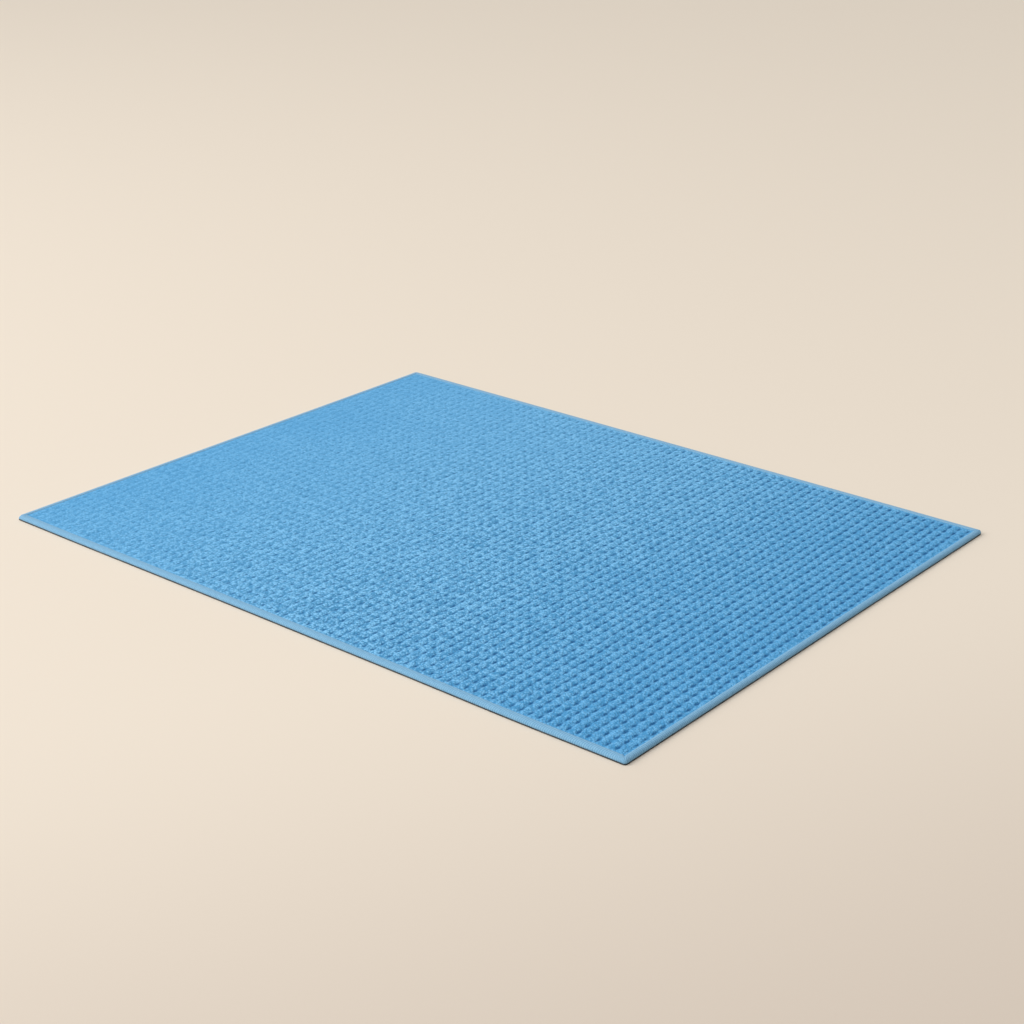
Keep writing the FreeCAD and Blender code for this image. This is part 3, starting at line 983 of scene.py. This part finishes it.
@cache
def patterned_sheet() -> Tree:
    """A level sheet pressed into columns of pits joined by grooves along Y.

    Returns:
        The Geometry Nodes tree. Its mesh carries the attribute depth, from 0 on a ridge
        to 1 at the bottom of a pit.
    """
    graph, given = new_tree("patterned_sheet", Pattern)
    math_ = graph.math
    grid = graph.node("GeometryNodeMeshGrid")
    for axis, count, samples, pitch in (
        ("X", "Columns", "Samples Across", "Column Pitch"),
        ("Y", "Rows", "Samples Along", "Row Pitch"),
    ):
        graph.feed(grid.inputs[f"Size {axis}"], math_("MULTIPLY", given[count], given[pitch]))
        vertices = math_("MULTIPLY_ADD", given[count], given[samples], 1.0)
        graph.feed(grid.inputs[f"Vertices {axis}"], vertices)
    even_x, along_y, _ = graph.split(graph.node("GeometryNodeInputPosition").outputs[0])

    # Samples gather towards the grooves, where the sheet bends most
    phase = math_("MULTIPLY", math_("DIVIDE", even_x, given["Column Pitch"]), math.tau)
    pull = math_("MULTIPLY", math_("MULTIPLY", given["Column Pitch"], given["Gather"]), 1 / math.tau)
    across = math_("SUBTRACT", even_x, math_("MULTIPLY", math_("SINE", phase), pull))
    half = math_("MULTIPLY", given["Column Pitch"], 0.5)
    off_groove = math_("WRAP", across, half, math_("MULTIPLY", half, -1.0))
    share = math_("DIVIDE", off_groove, given["Groove Width"])
    groove = math_("EXPONENT", math_("MULTIPLY", math_("MULTIPLY", share, share), -1.0))
    turn = math_("MULTIPLY", math_("DIVIDE", along_y, given["Row Pitch"]), math.tau)
    wave = math_("MULTIPLY_ADD", math_("COSINE", turn), 0.5, 0.5)
    pit = math_("POWER", wave, given["Pit Sharpness"])

    # The lattice wanders a little, and its pits differ in depth
    even = graph.join(across, along_y, 0.0)
    stray = graph.node("ShaderNodeTexNoise")
    graph.feed(stray.inputs["Vector"], even)
    graph.feed(stray.inputs["Scale"], math_("DIVIDE", 1.0, given["Wander Size"]))
    stray_x, stray_y = (
        math_("MULTIPLY", math_("SUBTRACT", aside, 0.5), given["Wander"])
        for aside in graph.split(stray.outputs["Color"])[:2]
    )
    pits_apart = graph.noise(even, math_("DIVIDE", 0.7, given["Column Pitch"]), 0.0)
    varied = math_("MULTIPLY_ADD", math_("SUBTRACT", pits_apart, 0.5), given["Uneven"], 1.0)
    fade = math_("MULTIPLY_ADD", across, given["Depth Drift"], 1.0)
    full = math_("MULTIPLY_ADD", pit, given["Pit Depth"], given["Groove Depth"])
    depth = math_("MULTIPLY", math_("MULTIPLY", groove, full), math_("MULTIPLY", fade, varied))
    lean = math_("MULTIPLY", along_y, given["Skew"])
    leant = math_("SUBTRACT", math_("ADD", across, given["Shift"]), lean)
    skewed = math_("ADD", leant, stray_x)
    along = math_("ADD", along_y, stray_y)

    # The sheet dips to its border, where the binding holds it
    short_x = math_("SUBTRACT", given["Border X"], math_("ABSOLUTE", skewed))
    short_y = math_("SUBTRACT", given["Border Y"], math_("ABSOLUTE", along))
    reach = math_("ADD", given["Border Level"], given["Border Width"])
    inside = graph.smooth(math_("MINIMUM", short_x, short_y), given["Border Level"], reach)
    drop = math_("MULTIPLY", math_("SUBTRACT", 1.0, inside), given["Border Drop"])

    lumps = graph.noise(even, math_("DIVIDE", 1.0, given["Lump Size"]), 1.0)
    lump = math_("MULTIPLY", math_("SUBTRACT", lumps, 0.5), given["Lump Height"])
    rise = math_("MULTIPLY", math_("MULTIPLY", lump, fade), inside)
    sunk = math_("MULTIPLY", depth, inside)
    height = math_("SUBTRACT", math_("ADD", given["Level"], rise), sunk)
    level = math_("MAXIMUM", math_("SUBTRACT", height, drop), given["Lowest"])
    whole = math_("ADD", given["Groove Depth"], given["Pit Depth"])
    place = graph.join(skewed, along, level)
    sheet = moved(graph, grid.outputs["Mesh"], "depth", math_("DIVIDE", sunk, whole), place)
    return end_tree(graph, sheet, given["Material"])


@dataclass
class FaceCloth:
    """The waffle-textured face cloth, its border flattened under the binding."""

    plan: Plan
    weave: Pattern = Pattern(
        columns=82,
        rows=50,
        column_pitch=9.05 * MM,
        row_pitch=11.4 * MM,
        samples_across=6,
        samples_along=4,
        gather=0.3,
        skew=0.036,
        shift=-1.2 * MM,
        wander=2.4 * MM,
        wander_size=40.0 * MM,
        uneven=0.5,
        depth_drift=1.05,
        groove_depth=0.40 * MM,
        pit_depth=0.54 * MM,
        groove_width=1.75 * MM,
        pit_sharpness=1.4,
        lump_height=0.42 * MM,
        lump_size=3.4 * MM,
        border_level=0.5 * MM,
        border_width=2.0 * MM,
    )
    ridge_under_top: float = 0.16 * MM
    least_thickness: float = 0.15 * MM
    border_height: float = 3.85 * MM
    under_tape: float = 1.2 * MM
    rim: float = 2.2 * MM
    rim_height: float = 3.45 * MM

    def build(self) -> Piece:
        """Makes the cloth as one closed sheet.

        Returns:
            The finished piece.
        """
        low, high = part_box("face_fabric")
        window_x, window_y = self.plan.window()
        level = high.z - self.ridge_under_top
        pressed = replace(
            self.weave,
            level=level,
            lowest=low.z + self.least_thickness,
            border_x=window_x,
            border_y=window_y,
            border_drop=level - self.border_height,
        )
        piece = grown(patterned_sheet(), "face_cloth", pressed, FACE)

        def close(shape: Shape) -> None:
            """Trims the cloth, carries it under the tape and closes its back."""
            trim(shape, window_x + self.under_tape, window_y + self.under_tape)
            contour(shape, self.plan, [(self.rim, self.rim_height), (self.rim, low.z)])

        edit(piece, close)
        shade_smooth(piece, angle=70.0)
        self.plan.settle(piece.data)
        take_place(piece, "face", "face_fabric")
        half_long, half_wide = self.plan.inset(self.rim)
        return piece


@dataclass
class RubberBase:
    """The dark non-slip sheet: dimpled underneath, rebated on top for the tape's foot."""

    plan: Plan
    dimples: Pattern = Pattern(
        columns=76,
        rows=60,
        column_pitch=9.5 * MM,
        row_pitch=9.5 * MM,
        pit_depth=-0.35 * MM,
        groove_width=2.6 * MM,
        pit_sharpness=2.0,
    )
    rim: float = 2.0 * MM
    bevel: float = 0.2 * MM

    def build(self) -> Piece:
        """Makes the sheet with its pattern underneath.

        Returns:
            The finished piece.
        """
        low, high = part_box("base_sheet")
        rebate = self.plan.half_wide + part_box("binding_front")[1].y
        reach_x, reach_y = self.plan.inset(self.rim)
        pressed = replace(
            self.dimples, level=low.z, lowest=low.z, border_x=reach_x, border_y=reach_y
        )
        piece = grown(patterned_sheet(), "rubber_base", pressed, RUBBER)
        steps = [
            (self.bevel, low.z),
            (0.0, low.z + self.bevel),
            (0.0, self.plan.foot),
            (rebate, self.plan.foot),
            (rebate, high.z),
        ]

        def close(shape: Shape) -> None:
            """Trims the pattern and carries its edge round to the top."""
            trim(shape, reach_x, reach_y)
            contour(shape, self.plan, steps)

        edit(piece, close)
        shade_smooth(piece, angle=40.0)
        self.plan.settle(piece.data)
        take_place(piece, "base", "base_sheet")
        return piece


# ------------------------------------------------------------------ edge binding


class Side(Enum):
    """The mat's four sides, with the quarter turns from the front side to each."""

    FRONT = 0
    RIGHT = 1
    BACK = 2
    LEFT = 3

    @property
    def node(self) -> str:
        """The frame node of this side's tape."""
        return f"binding_{self.name.lower()}"

    @property
    def lengthwise(self) -> bool:
        """Whether this side runs along the mat's length."""
        return self in (Side.FRONT, Side.BACK)


@dataclass(frozen=True)
class TapeRun:
    """A tape's run along one side: its ribs, and how both its ends are mitred and folded."""

    stations: int
    half_length: float
    rib_height: float
    rib_lean: float
    mitre_ease: float = 14.0 * MM
    fold_dip: float = 0.2 * MM
    fold_width: float = 1.1 * MM


@cache
def ribbed_tape() -> Tree:
    """A folded tape along X with fine ribs across it and both ends mitred.

    The given mesh is a row of points round the tape's section: x is the share of a rib
    that stands there, y the distance in from the mat's outline, z the height. Its
    attribute out is the direction in which a rib stands.

    Returns:
        The Geometry Nodes tree. Its mesh carries the attribute crown, 1 on a rib.
    """
    graph, given = new_tree("ribbed_tape", TapeRun)
    math_ = graph.math
    size = graph.node("GeometryNodeAttributeDomainSize")
    graph.feed(size.inputs[0], given["Geometry"])
    around = size.outputs["Point Count"]
    grid = graph.node("GeometryNodeMeshGrid")
    graph.feed(grid.inputs["Vertices X"], given["Stations"])
    graph.feed(grid.inputs["Vertices Y"], around)
    index = graph.node("GeometryNodeInputIndex").outputs[0]
    station = math_("FLOOR", math_("DIVIDE", math_("ADD", index, 0.5), around))
    point = math_("SUBTRACT", index, math_("MULTIPLY", station, around))
    stored = graph.node("GeometryNodeInputNamedAttribute", data_type="FLOAT_VECTOR")
    stored.inputs["Name"].default_value = "out"
    sampled = []
    for source in (
        graph.node("GeometryNodeInputPosition").outputs[0],
        stored.outputs["Attribute"],
    ):
        found = graph.node("GeometryNodeSampleIndex", data_type="FLOAT_VECTOR", domain="POINT")
        for label, value in (("Geometry", given["Geometry"]), ("Value", source), ("Index", point)):
            graph.feed(found.inputs[label], value)
        sampled.append(found.outputs[0])
    place, out = sampled
    ribbed, inset, height = graph.split(place)

    last = math_("SUBTRACT", given["Stations"], 1.0)
    share = math_("MULTIPLY_ADD", math_("DIVIDE", station, last), 2.0, -1.0)
    along = math_("MULTIPLY", share, given["Half Length"])
    leant = math_("MULTIPLY_ADD", inset, given["Rib Lean"], along)
    to_end = math_("SUBTRACT", given["Half Length"], math_("ABSOLUTE", along))
    ease = math_("SUBTRACT", 1.0, graph.smooth(to_end, 0.0, given["Mitre Ease"]))
    drawn_in = math_("MULTIPLY", math_("MULTIPLY", math_("SIGN", along), inset), ease)
    straight = math_("SUBTRACT", 1.0, ease)
    lean = math_("MULTIPLY", math_("SUBTRACT", leant, along), straight)
    mitred = math_("SUBTRACT", math_("ADD", along, lean), drawn_in)

    # Two stations to a rib: every other one stands on a crown
    rib = math_("MULTIPLY", math_("MODULO", station, 2.0), ribbed)
    fold = math_("SUBTRACT", 1.0, graph.smooth(to_end, 0.0, given["Fold Width"]))
    dip = math_("MULTIPLY", math_("MULTIPLY", fold, given["Fold Dip"]), ribbed)
    stand = graph.node("ShaderNodeVectorMath", operation="SCALE")
    graph.feed(stand.inputs[0], out)
    lift = math_("SUBTRACT", math_("MULTIPLY", rib, given["Rib Height"]), dip)
    graph.feed(stand.inputs["Scale"], lift)
    final = graph.node("ShaderNodeVectorMath", operation="ADD")
    graph.feed(final.inputs[0], graph.join(mitred, inset, height))
    graph.feed(final.inputs[1], stand.outputs[0])
    # The crown attribute marks where the tape's material paints a highlight
    tape = moved(graph, grid.outputs["Mesh"], "crown", rib, final.outputs[0])
    return end_tree(graph, tape, given["Material"])


@dataclass(frozen=True)
class Roll:
    """The rounding of a tape's upper edge: how far it reaches in and down."""

    inward: float
    down: float


@dataclass
class EdgeBinding:
    """The ribbed tape rolled over the mat's edge, one strip to a side.

    A point of its section says how far the tape is ribbed there, its inset and its
    height. The heel's points are measured from the wall and the foot, the hem's from
    the lap's edge and the crown.
    """

    plan: Plan
    foot: float = 6.0 * MM
    thick: float = 0.35 * MM
    heel: Section = (
        (0.0, 0.7 * MM, 0.0),
        (0.5, 0.15 * MM, 0.12 * MM),
        (1.0, 0.0, 0.5 * MM),
    )
    near_roll: Roll = Roll(inward=3.2 * MM, down=2.2 * MM)
    far_roll: Roll = Roll(inward=2.4 * MM, down=1.7 * MM)
    roll_points: int = 8
    hem: Section = (
        (1.0, -1.7 * MM, 0.04 * MM),
        (1.0, -1.1 * MM, 0.0),
        (1.0, -0.5 * MM, -0.12 * MM),
        (0.3, 0.0, -0.36 * MM),
    )
    crown_under_top: float = 0.28 * MM
    rib_pitch: float = 2.0 * MM
    rib_height: float = 0.20 * MM
    rib_lean: float = 0.12

    def outside(self, low: float, high: float, lap: float, roll: Roll) -> Section:
        """The tape's outside, from the end of its foot round to its lap's edge.

        Args:
            low: the height of the tape's foot.
            high: the height of the mat's top.
            lap: how far the tape reaches over the face.
            roll: the rounding of its upper edge.

        Returns:
            The outside's points.
        """
        wall = self.rib_height
        crown = high - self.crown_under_top
        turns = [math.pi / 2 * step / (self.roll_points - 1) for step in range(self.roll_points)]
        return (
            (0.0, self.foot, low),
            *((ribbed, wall + inset, low + rise) for ribbed, inset, rise in self.heel),
            *(
                (
                    1.0,
                    wall + roll.inward * (1 - math.cos(turn)),
                    crown - roll.down * (1 - math.sin(turn)),
                )
                for turn in turns
            ),
            *((ribbed, lap + inset, crown + rise) for ribbed, inset, rise in self.hem),
        )

    def closed(self, outside: Section) -> Section:
        """The closed section: the outside, then the plain inside one thickness below.

        Args:
            outside: the outside's points.

        Returns:
            The section's points, the last the same as the first.
        """
        flat = np.array(outside)[:, 1:]
        ahead = np.gradient(flat, axis=0)
        ahead /= np.linalg.norm(ahead, axis=1)[:, None]
        within = flat + self.thick * np.stack([ahead[:, 1], -ahead[:, 0]], axis=1)
        inside = ((0.0, inset, height) for inset, height in within[::-1].tolist())
        return (*outside, *inside, outside[0])

    def section_mesh(self, points: Section) -> bpy.types.Mesh:
        """The section as a row of points with the directions in which ribs stand.

        Args:
            points: the section's points, the last the same as the first.

        Returns:
            A mesh of points that the tape's tree reads.
        """
        ring = np.array(points)[:-1, 1:]
        ahead = np.roll(ring, -1, axis=0) - np.roll(ring, 1, axis=0)
        out = np.stack([np.zeros(len(ahead)), -ahead[:, 1], ahead[:, 0]], axis=1)
        out /= np.linalg.norm(out, axis=1)[:, None]
        out = np.vstack([out, out[:1]])
        mesh = bpy.data.meshes.new("tape_section")
        mesh.from_pydata(points, [], [])
        layer = mesh.attributes.new("out", "FLOAT_VECTOR", "POINT")
        layer.data.foreach_set("vector", out.ravel())
        return mesh

    def lap(self, side: Side) -> float:
        """How far a side's tape reaches over the face."""
        return self.plan.lap_long if side.lengthwise else self.plan.lap_short

    def strip(self, side: Side) -> Piece:
        """Makes one side's tape.

        Args:
            side: which side it runs along.

        Returns:
            The tape, in place along its side.
        """
        low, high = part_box(side.node)
        roll = self.near_roll if side in (Side.FRONT, Side.RIGHT) else self.far_roll
        half, away = self.plan.half_long, self.plan.half_wide
        if not side.lengthwise:
            half, away = away, half
        run = TapeRun(
            stations=2 * round(2 * half / self.rib_pitch) + 1,
            half_length=half,
            rib_height=self.rib_height,
            rib_lean=self.rib_lean,
        )
        outside = self.outside(low.z, high.z, self.lap(side), roll)
        start = self.section_mesh(self.closed(outside))
        piece = grown(ribbed_tape(), f"tape_{side.name.lower()}", run, TAPE, start)

        def close(shape: Shape) -> None:
            """Joins the section's seam and closes both mitred ends.

            Args:
                shape: the tape's edit mesh.
            """
            bmesh.ops.remove_doubles(shape, verts=shape.verts, dist=WELD)
            bmesh.ops.holes_fill(shape, edges=[e for e in shape.edges if e.is_boundary])
            bmesh.ops.recalc_face_normals(shape, faces=shape.faces)

        edit(piece, close)
        turned = Matrix.Rotation(side.value * math.pi / 2, 4, "Z")
        piece.data.transform(turned @ Matrix.Translation((0, -away, 0)))
        return piece

    def build(self) -> list[Piece]:
        """Makes the four tapes and opens the back one for the inlet.

        Returns:
            The finished pieces.
        """
        pieces = []
        for side in Side:
            piece = self.strip(side)
            if side is Side.BACK:
                cut_slot(piece, *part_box("inlet_housing"))
            shade_smooth(piece, angle=60.0)
            self.plan.settle(piece.data)
            take_place(piece, "binding", side.node)
            low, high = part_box(side.node)
            pieces.append(piece)
        return pieces


def cut_slot(piece: Piece, low: Vector, high: Vector, overrun: float = 8.0 * MM) -> None:
    """Cuts a box out of a piece, open towards +Y.

    Args:
        piece: the piece to open.
        low: the box's lowest corner.
        high: its highest corner.
        overrun: how far the cut runs on past it in Y.
    """
    size = high - low + Vector((0, overrun, 0))
    fitted = Matrix.Translation(low + size / 2) @ Matrix.Diagonal((*size, 1.0))
    shape = bmesh.new()
    bmesh.ops.create_cube(shape, size=1.0)
    bmesh.ops.transform(shape, matrix=fitted, verts=shape.verts)
    mesh = bpy.data.meshes.new("slot")
    shape.to_mesh(mesh)
    shape.free()
    cutter = linked("slot", mesh)
    modifier = piece.modifiers.new("slot", "BOOLEAN")
    modifier.operation = "DIFFERENCE"
    modifier.object = cutter
    modifier.solver = "EXACT"
    opened = baked(piece)
    piece.modifiers.remove(modifier)
    bpy.data.objects.remove(cutter)
    opened.name = piece.name
    piece.data = opened


@dataclass(frozen=True)
class Stitches:
    """A closed row of stitches round a rectangle with rounded corners."""

    long: float
    wide: float
    corner: float = 1.5 * MM
    stitch_pitch: float = 2.9 * MM
    stitch_length: float = 2.3 * MM
    thread_width: float = 0.34 * MM
    level: float = 4.18 * MM


@cache
def stitch_row() -> Tree:
    """A closed row of lockstitches round a rectangle.

    Returns:
        The Geometry Nodes tree.
    """
    graph, given = new_tree("stitch_row", Stitches)
    path = graph.node("GeometryNodeCurvePrimitiveQuadrilateral")
    graph.feed(path.inputs["Width"], given["Long"])
    graph.feed(path.inputs["Height"], given["Wide"])
    rounded = graph.node("GeometryNodeFilletCurve", mode="POLY")
    graph.feed(rounded.inputs["Curve"], path.outputs[0])
    graph.feed(rounded.inputs["Radius"], given["Corner"])
    rounded.inputs["Count"].default_value = 4
    spaced = graph.node("GeometryNodeResampleCurve", mode="LENGTH")
    graph.feed(spaced.inputs["Curve"], rounded.outputs[0])
    graph.feed(spaced.inputs["Length"], given["Stitch Pitch"])
    stitch = graph.node("GeometryNodeMeshUVSphere")
    for label, value in (("Segments", 6), ("Rings", 5), ("Radius", 0.5)):
        stitch.inputs[label].default_value = value
    turned = graph.node("FunctionNodeAlignRotationToVector", axis="X")
    graph.feed(turned.inputs["Vector"], graph.node("GeometryNodeInputTangent").outputs[0])
    thread = given["Thread Width"]
    sown = graph.node("GeometryNodeInstanceOnPoints")
    for label, value in (
        ("Points", spaced.outputs[0]),
        ("Instance", stitch.outputs["Mesh"]),
        ("Rotation", turned.outputs[0]),
        ("Scale", graph.join(given["Stitch Length"], thread, thread)),
    ):
        graph.feed(sown.inputs[label], value)
    raised = graph.node("GeometryNodeTransform")
    graph.feed(raised.inputs["Geometry"], sown.outputs[0])
    graph.feed(raised.inputs["Translation"], graph.join(0.0, 0.0, given["Level"]))
    return end_tree(graph, raised.outputs[0], given["Material"])


@dataclass
class BindingSeam:
    """The row of stitches that holds the tape, sunk between its hem and its valley."""

    plan: Plan
    from_hem: float = 1.1 * MM

    def build(self) -> Piece:
        """Makes the stitches.

        Returns:
            The finished piece.
        """
        window_x, window_y = self.plan.window()
        row = Stitches(long=2 * (window_x + self.from_hem), wide=2 * (window_y + self.from_hem))
        piece = grown(stitch_row(), "binding_seam", row, THREAD)
        shade_smooth(piece, angle=80.0)
        self.plan.settle(piece.data)
        take_place(piece, "thread", "binding_stitching")
        return piece


# ------------------------------------------------------------------ hidden pieces


@dataclass
class Laminate:
    """The level layers between the base and the face, with edges clear of the rolled tape."""

    plan: Plan
    rim: float = 1.9 * MM
    foam_fill: float = 0.1

    def layer(self, node: str, name: str, slot: str, finish: Finish) -> Piece:
        """Copies a frame layer with its outline drawn in to the rim.

        Args:
            node: the frame node.
            name: the new piece's name.
            slot: passed on, but not used.
            finish: what it is made of.

        Returns:
            The finished piece.
        """
        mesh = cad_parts[node].data.copy()
        mesh.name = name
        mesh.materials.clear()
        mesh.materials.append(finish.build())
        piece = linked(name, mesh)
        to_x, to_y = self.plan.inset(self.rim)

        def draw_in(shape: Shape) -> None:
            """Joins the loose triangles and moves the outline inwards.

            Args:
                shape: the layer's edit mesh.
            """
            bmesh.ops.remove_doubles(shape, verts=shape.verts, dist=WELD)
            for vertex in shape.verts:
                vertex.co.x = min(max(vertex.co.x, -to_x), to_x)
                vertex.co.y = min(max(vertex.co.y, -to_y), to_y)
            bmesh.ops.dissolve_degenerate(shape, dist=WELD, edges=shape.edges)

        edit(piece, draw_in)
        shade_smooth(piece, angle=30.0)
        take_place(piece, slot, node)
        return piece

    def build(self) -> None:
        self.layer("lower_film", "lower_moisture_film", "film", FILM)
        foam = self.layer("insulation_foam", "foam_layer", "foam", FOAM)
        carrier = self.layer("heater_carrier", "carrier_cloth", "carrier", NONWOVEN)
        self.layer("heat_spreader_foil", "spreader_foil", "foil", FOIL)
        self.layer("upper_film", "upper_moisture_film", "film", FILM)
        half_long, half_wide = self.plan.inset(self.rim)


@dataclass
class Interior:
    """The fittings inside the mat, which keep their frame shapes."""

    finishes: dict[str, Finish] = field(
        default_factory=lambda: {
            "heating_wire_core": ALLOY,
            "heating_wire_cover": SILICONE,
            "wire_strips": GLASS_CLOTH,
            "inlet_housing": HOUSING,
            "inlet_pins": GILT,
            "inlet_potting": EPOXY,
            "live_lead": BLACK_LEAD,
            "return_lead_lower": WHITE_LEAD,
            "return_lead_upper": WHITE_LEAD,
            "splice_ferrules": COPPER,
            "splice_sleeves": SHRINK,
            "cutout_case": HOUSING,
            "cutout_lid": HOUSING,
            "cutout_disc": BIMETAL,
            "cutout_tabs": NICKEL,
        }
    )

    def dress(self) -> None:
        """Gives each frame node that stays its finish."""
        for node, finish in self.finishes.items():
            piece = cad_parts[node]
            piece.data.materials.clear()
            piece.data.materials.append(finish.build())
            log.info("%s: finish %s", node, finish.name)


# ------------------------------------------------------------------ studio


@dataclass(frozen=True)
class Studio:
    """A pale floor with painted shade, soft light from the left and the camera."""

    eye: tuple[float, float, float] = (1.0577, -1.2668, 0.7062)
    lens: float = 68.363
    sensor: float = 36.0
    pitch: float = 22.727
    turn: float = -39.397
    roll: float = 0.374
    floor_colour: Colour = (0.80, 0.72, 0.62)
    floor_dim: Colour = (0.605, 0.525, 0.452)
    floor_dim_span: Span = (-1.05, -0.15)
    floor_tilt: float = 0.35
    floor_patch_scale: float = 0.8
    floor_patch_swing: float = 0.1
    floor_half: float = 9.0
    sky_colour: Colour = (1.0, 0.985, 0.965)
    sky_side: tuple[float, float, float] = (-0.45, -0.25, 0.86)
    sky_span: Span = (-0.4, 1.0)
    sky_low: float = 0.08
    sky_gain: float = 1.0
    key_colour: Colour = (1.0, 0.97, 0.94)
    key_place: tuple[float, float, float] = (-2.4, -2.9, 2.4)
    key_size: float = 2.4
    key_power: float = 95.0

    def camera(self) -> None:
        """Places the camera and makes it the scene's."""
        pitch, turn, roll = (math.radians(v) for v in (self.pitch, self.turn, self.roll))
        ahead = Vector(
            (math.sin(turn) * math.cos(pitch), math.cos(turn) * math.cos(pitch), -math.sin(pitch))
        )
        right = Vector((math.cos(turn), -math.sin(turn), 0))
        up = right.cross(ahead)
        level_right = right * math.cos(roll) + up * math.sin(roll)
        level_up = up * math.cos(roll) - right * math.sin(roll)
        basis = Matrix((level_right, level_up, -ahead)).transposed().to_4x4()
        data = bpy.data.cameras.new("studio_camera")
        data.lens = self.lens
        data.sensor_width = self.sensor
        data.clip_start = 10 * MM
        camera = linked("studio_camera", data)
        camera.matrix_world = Matrix.Translation(self.eye) @ basis
        bpy.context.scene.camera = camera

    def floor(self) -> None:
        """Lays the floor, with painted shade that dims it near the camera."""
        shape = bmesh.new()
        bmesh.ops.create_grid(shape, x_segments=8, y_segments=8, size=self.floor_half)
        mesh = bpy.data.meshes.new("floor")
        shape.to_mesh(mesh)
        shape.free()
        linked("floor", mesh)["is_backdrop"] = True
        paint = bpy.data.materials.new("floor_paint")
        paint.use_nodes = True
        graph = Graph(paint.node_tree)
        shader = paint.node_tree.nodes["Principled BSDF"]
        place = graph.node("ShaderNodeTexCoord").outputs["Object"]
        # Painted shade: the floor dims towards the camera, in slow patches
        away = graph.node("ShaderNodeVectorMath", operation="DOT_PRODUCT")
        graph.feed(away.inputs[0], place)
        turn = math.radians(self.turn)
        ahead = Vector((math.sin(turn), math.cos(turn), 0))
        right = Vector((math.cos(turn), -math.sin(turn), 0))
        away.inputs[1].default_value = ahead - self.floor_tilt * right
        patch = graph.noise(place, self.floor_patch_scale, 2.0)
        stray = graph.math("MULTIPLY_ADD", patch, self.floor_patch_swing, away.outputs["Value"])
        painted_light = graph.smooth(stray, *self.floor_dim_span)
        for label, value in (
            ("Base Color", graph.mix_colour(painted_light, self.floor_dim, self.floor_colour)),
            ("Roughness", 0.95),
            ("Specular IOR Level", 0.1),
        ):
            graph.feed(shader.inputs[label], value)
        mesh.materials.append(paint)

    def key(self) -> None:
        """Adds the key, a square soft lamp that faces the mat."""
        data = bpy.data.lights.new("key", "AREA")
        data.size = self.key_size
        data.energy = self.key_power
        data.color = self.key_colour
        lamp = linked("key", data)
        lamp.location = self.key_place
        lamp.rotation_mode = "QUATERNION"
        lamp.rotation_quaternion = (-Vector(self.key_place)).to_track_quat("-Z", "Y")

    def sky(self) -> None:
        """Surrounds the mat with a soft sky that is brighter to the left."""
        world = bpy.data.worlds.new("room")
        world.use_nodes = True
        graph = Graph(world.node_tree)
        sky = world.node_tree.nodes["Background"]
        sky.inputs["Color"].default_value = (*self.sky_colour, 1.0)
        facing = graph.node("ShaderNodeVectorMath", operation="DOT_PRODUCT")
        graph.feed(facing.inputs[0], graph.node("ShaderNodeTexCoord").outputs["Generated"])
        facing.inputs[1].default_value = Vector(self.sky_side).normalized()
        rise = graph.smooth(facing.outputs["Value"], *self.sky_span)
        strength = graph.math("MULTIPLY_ADD", rise, self.sky_gain, self.sky_low)
        graph.feed(sky.inputs["Strength"], strength)
        bpy.context.scene.world = world
        bpy.context.scene.view_settings.view_transform = "Standard"

    def build(self) -> None:
        """Sets up the camera, the floor and the light."""
        self.camera()
        self.floor()
        self.sky()
        self.key()


def corners(box: tuple[Vector, Vector]) -> list[list[float]]:
    """A box's two corners as plain lists."""
    return [list(corner) for corner in box]


def main() -> None:
    """Builds the mat and its studio, and works out the sizes before and after."""
    logging.basicConfig(level=logging.INFO, format="%(name)s: %(message)s")
    Studio().build()
    plan = Plan.from_frame()
    RubberBase(plan).build()
    Laminate(plan).build()
    FaceCloth(plan).build()
    EdgeBinding(plan).build()
    BindingSeam(plan).build()
    Interior().dress()
    sizes = {"cad": corners(CAD_BOX), "visual": corners(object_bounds())}


if __name__ == "__main__":
    main()
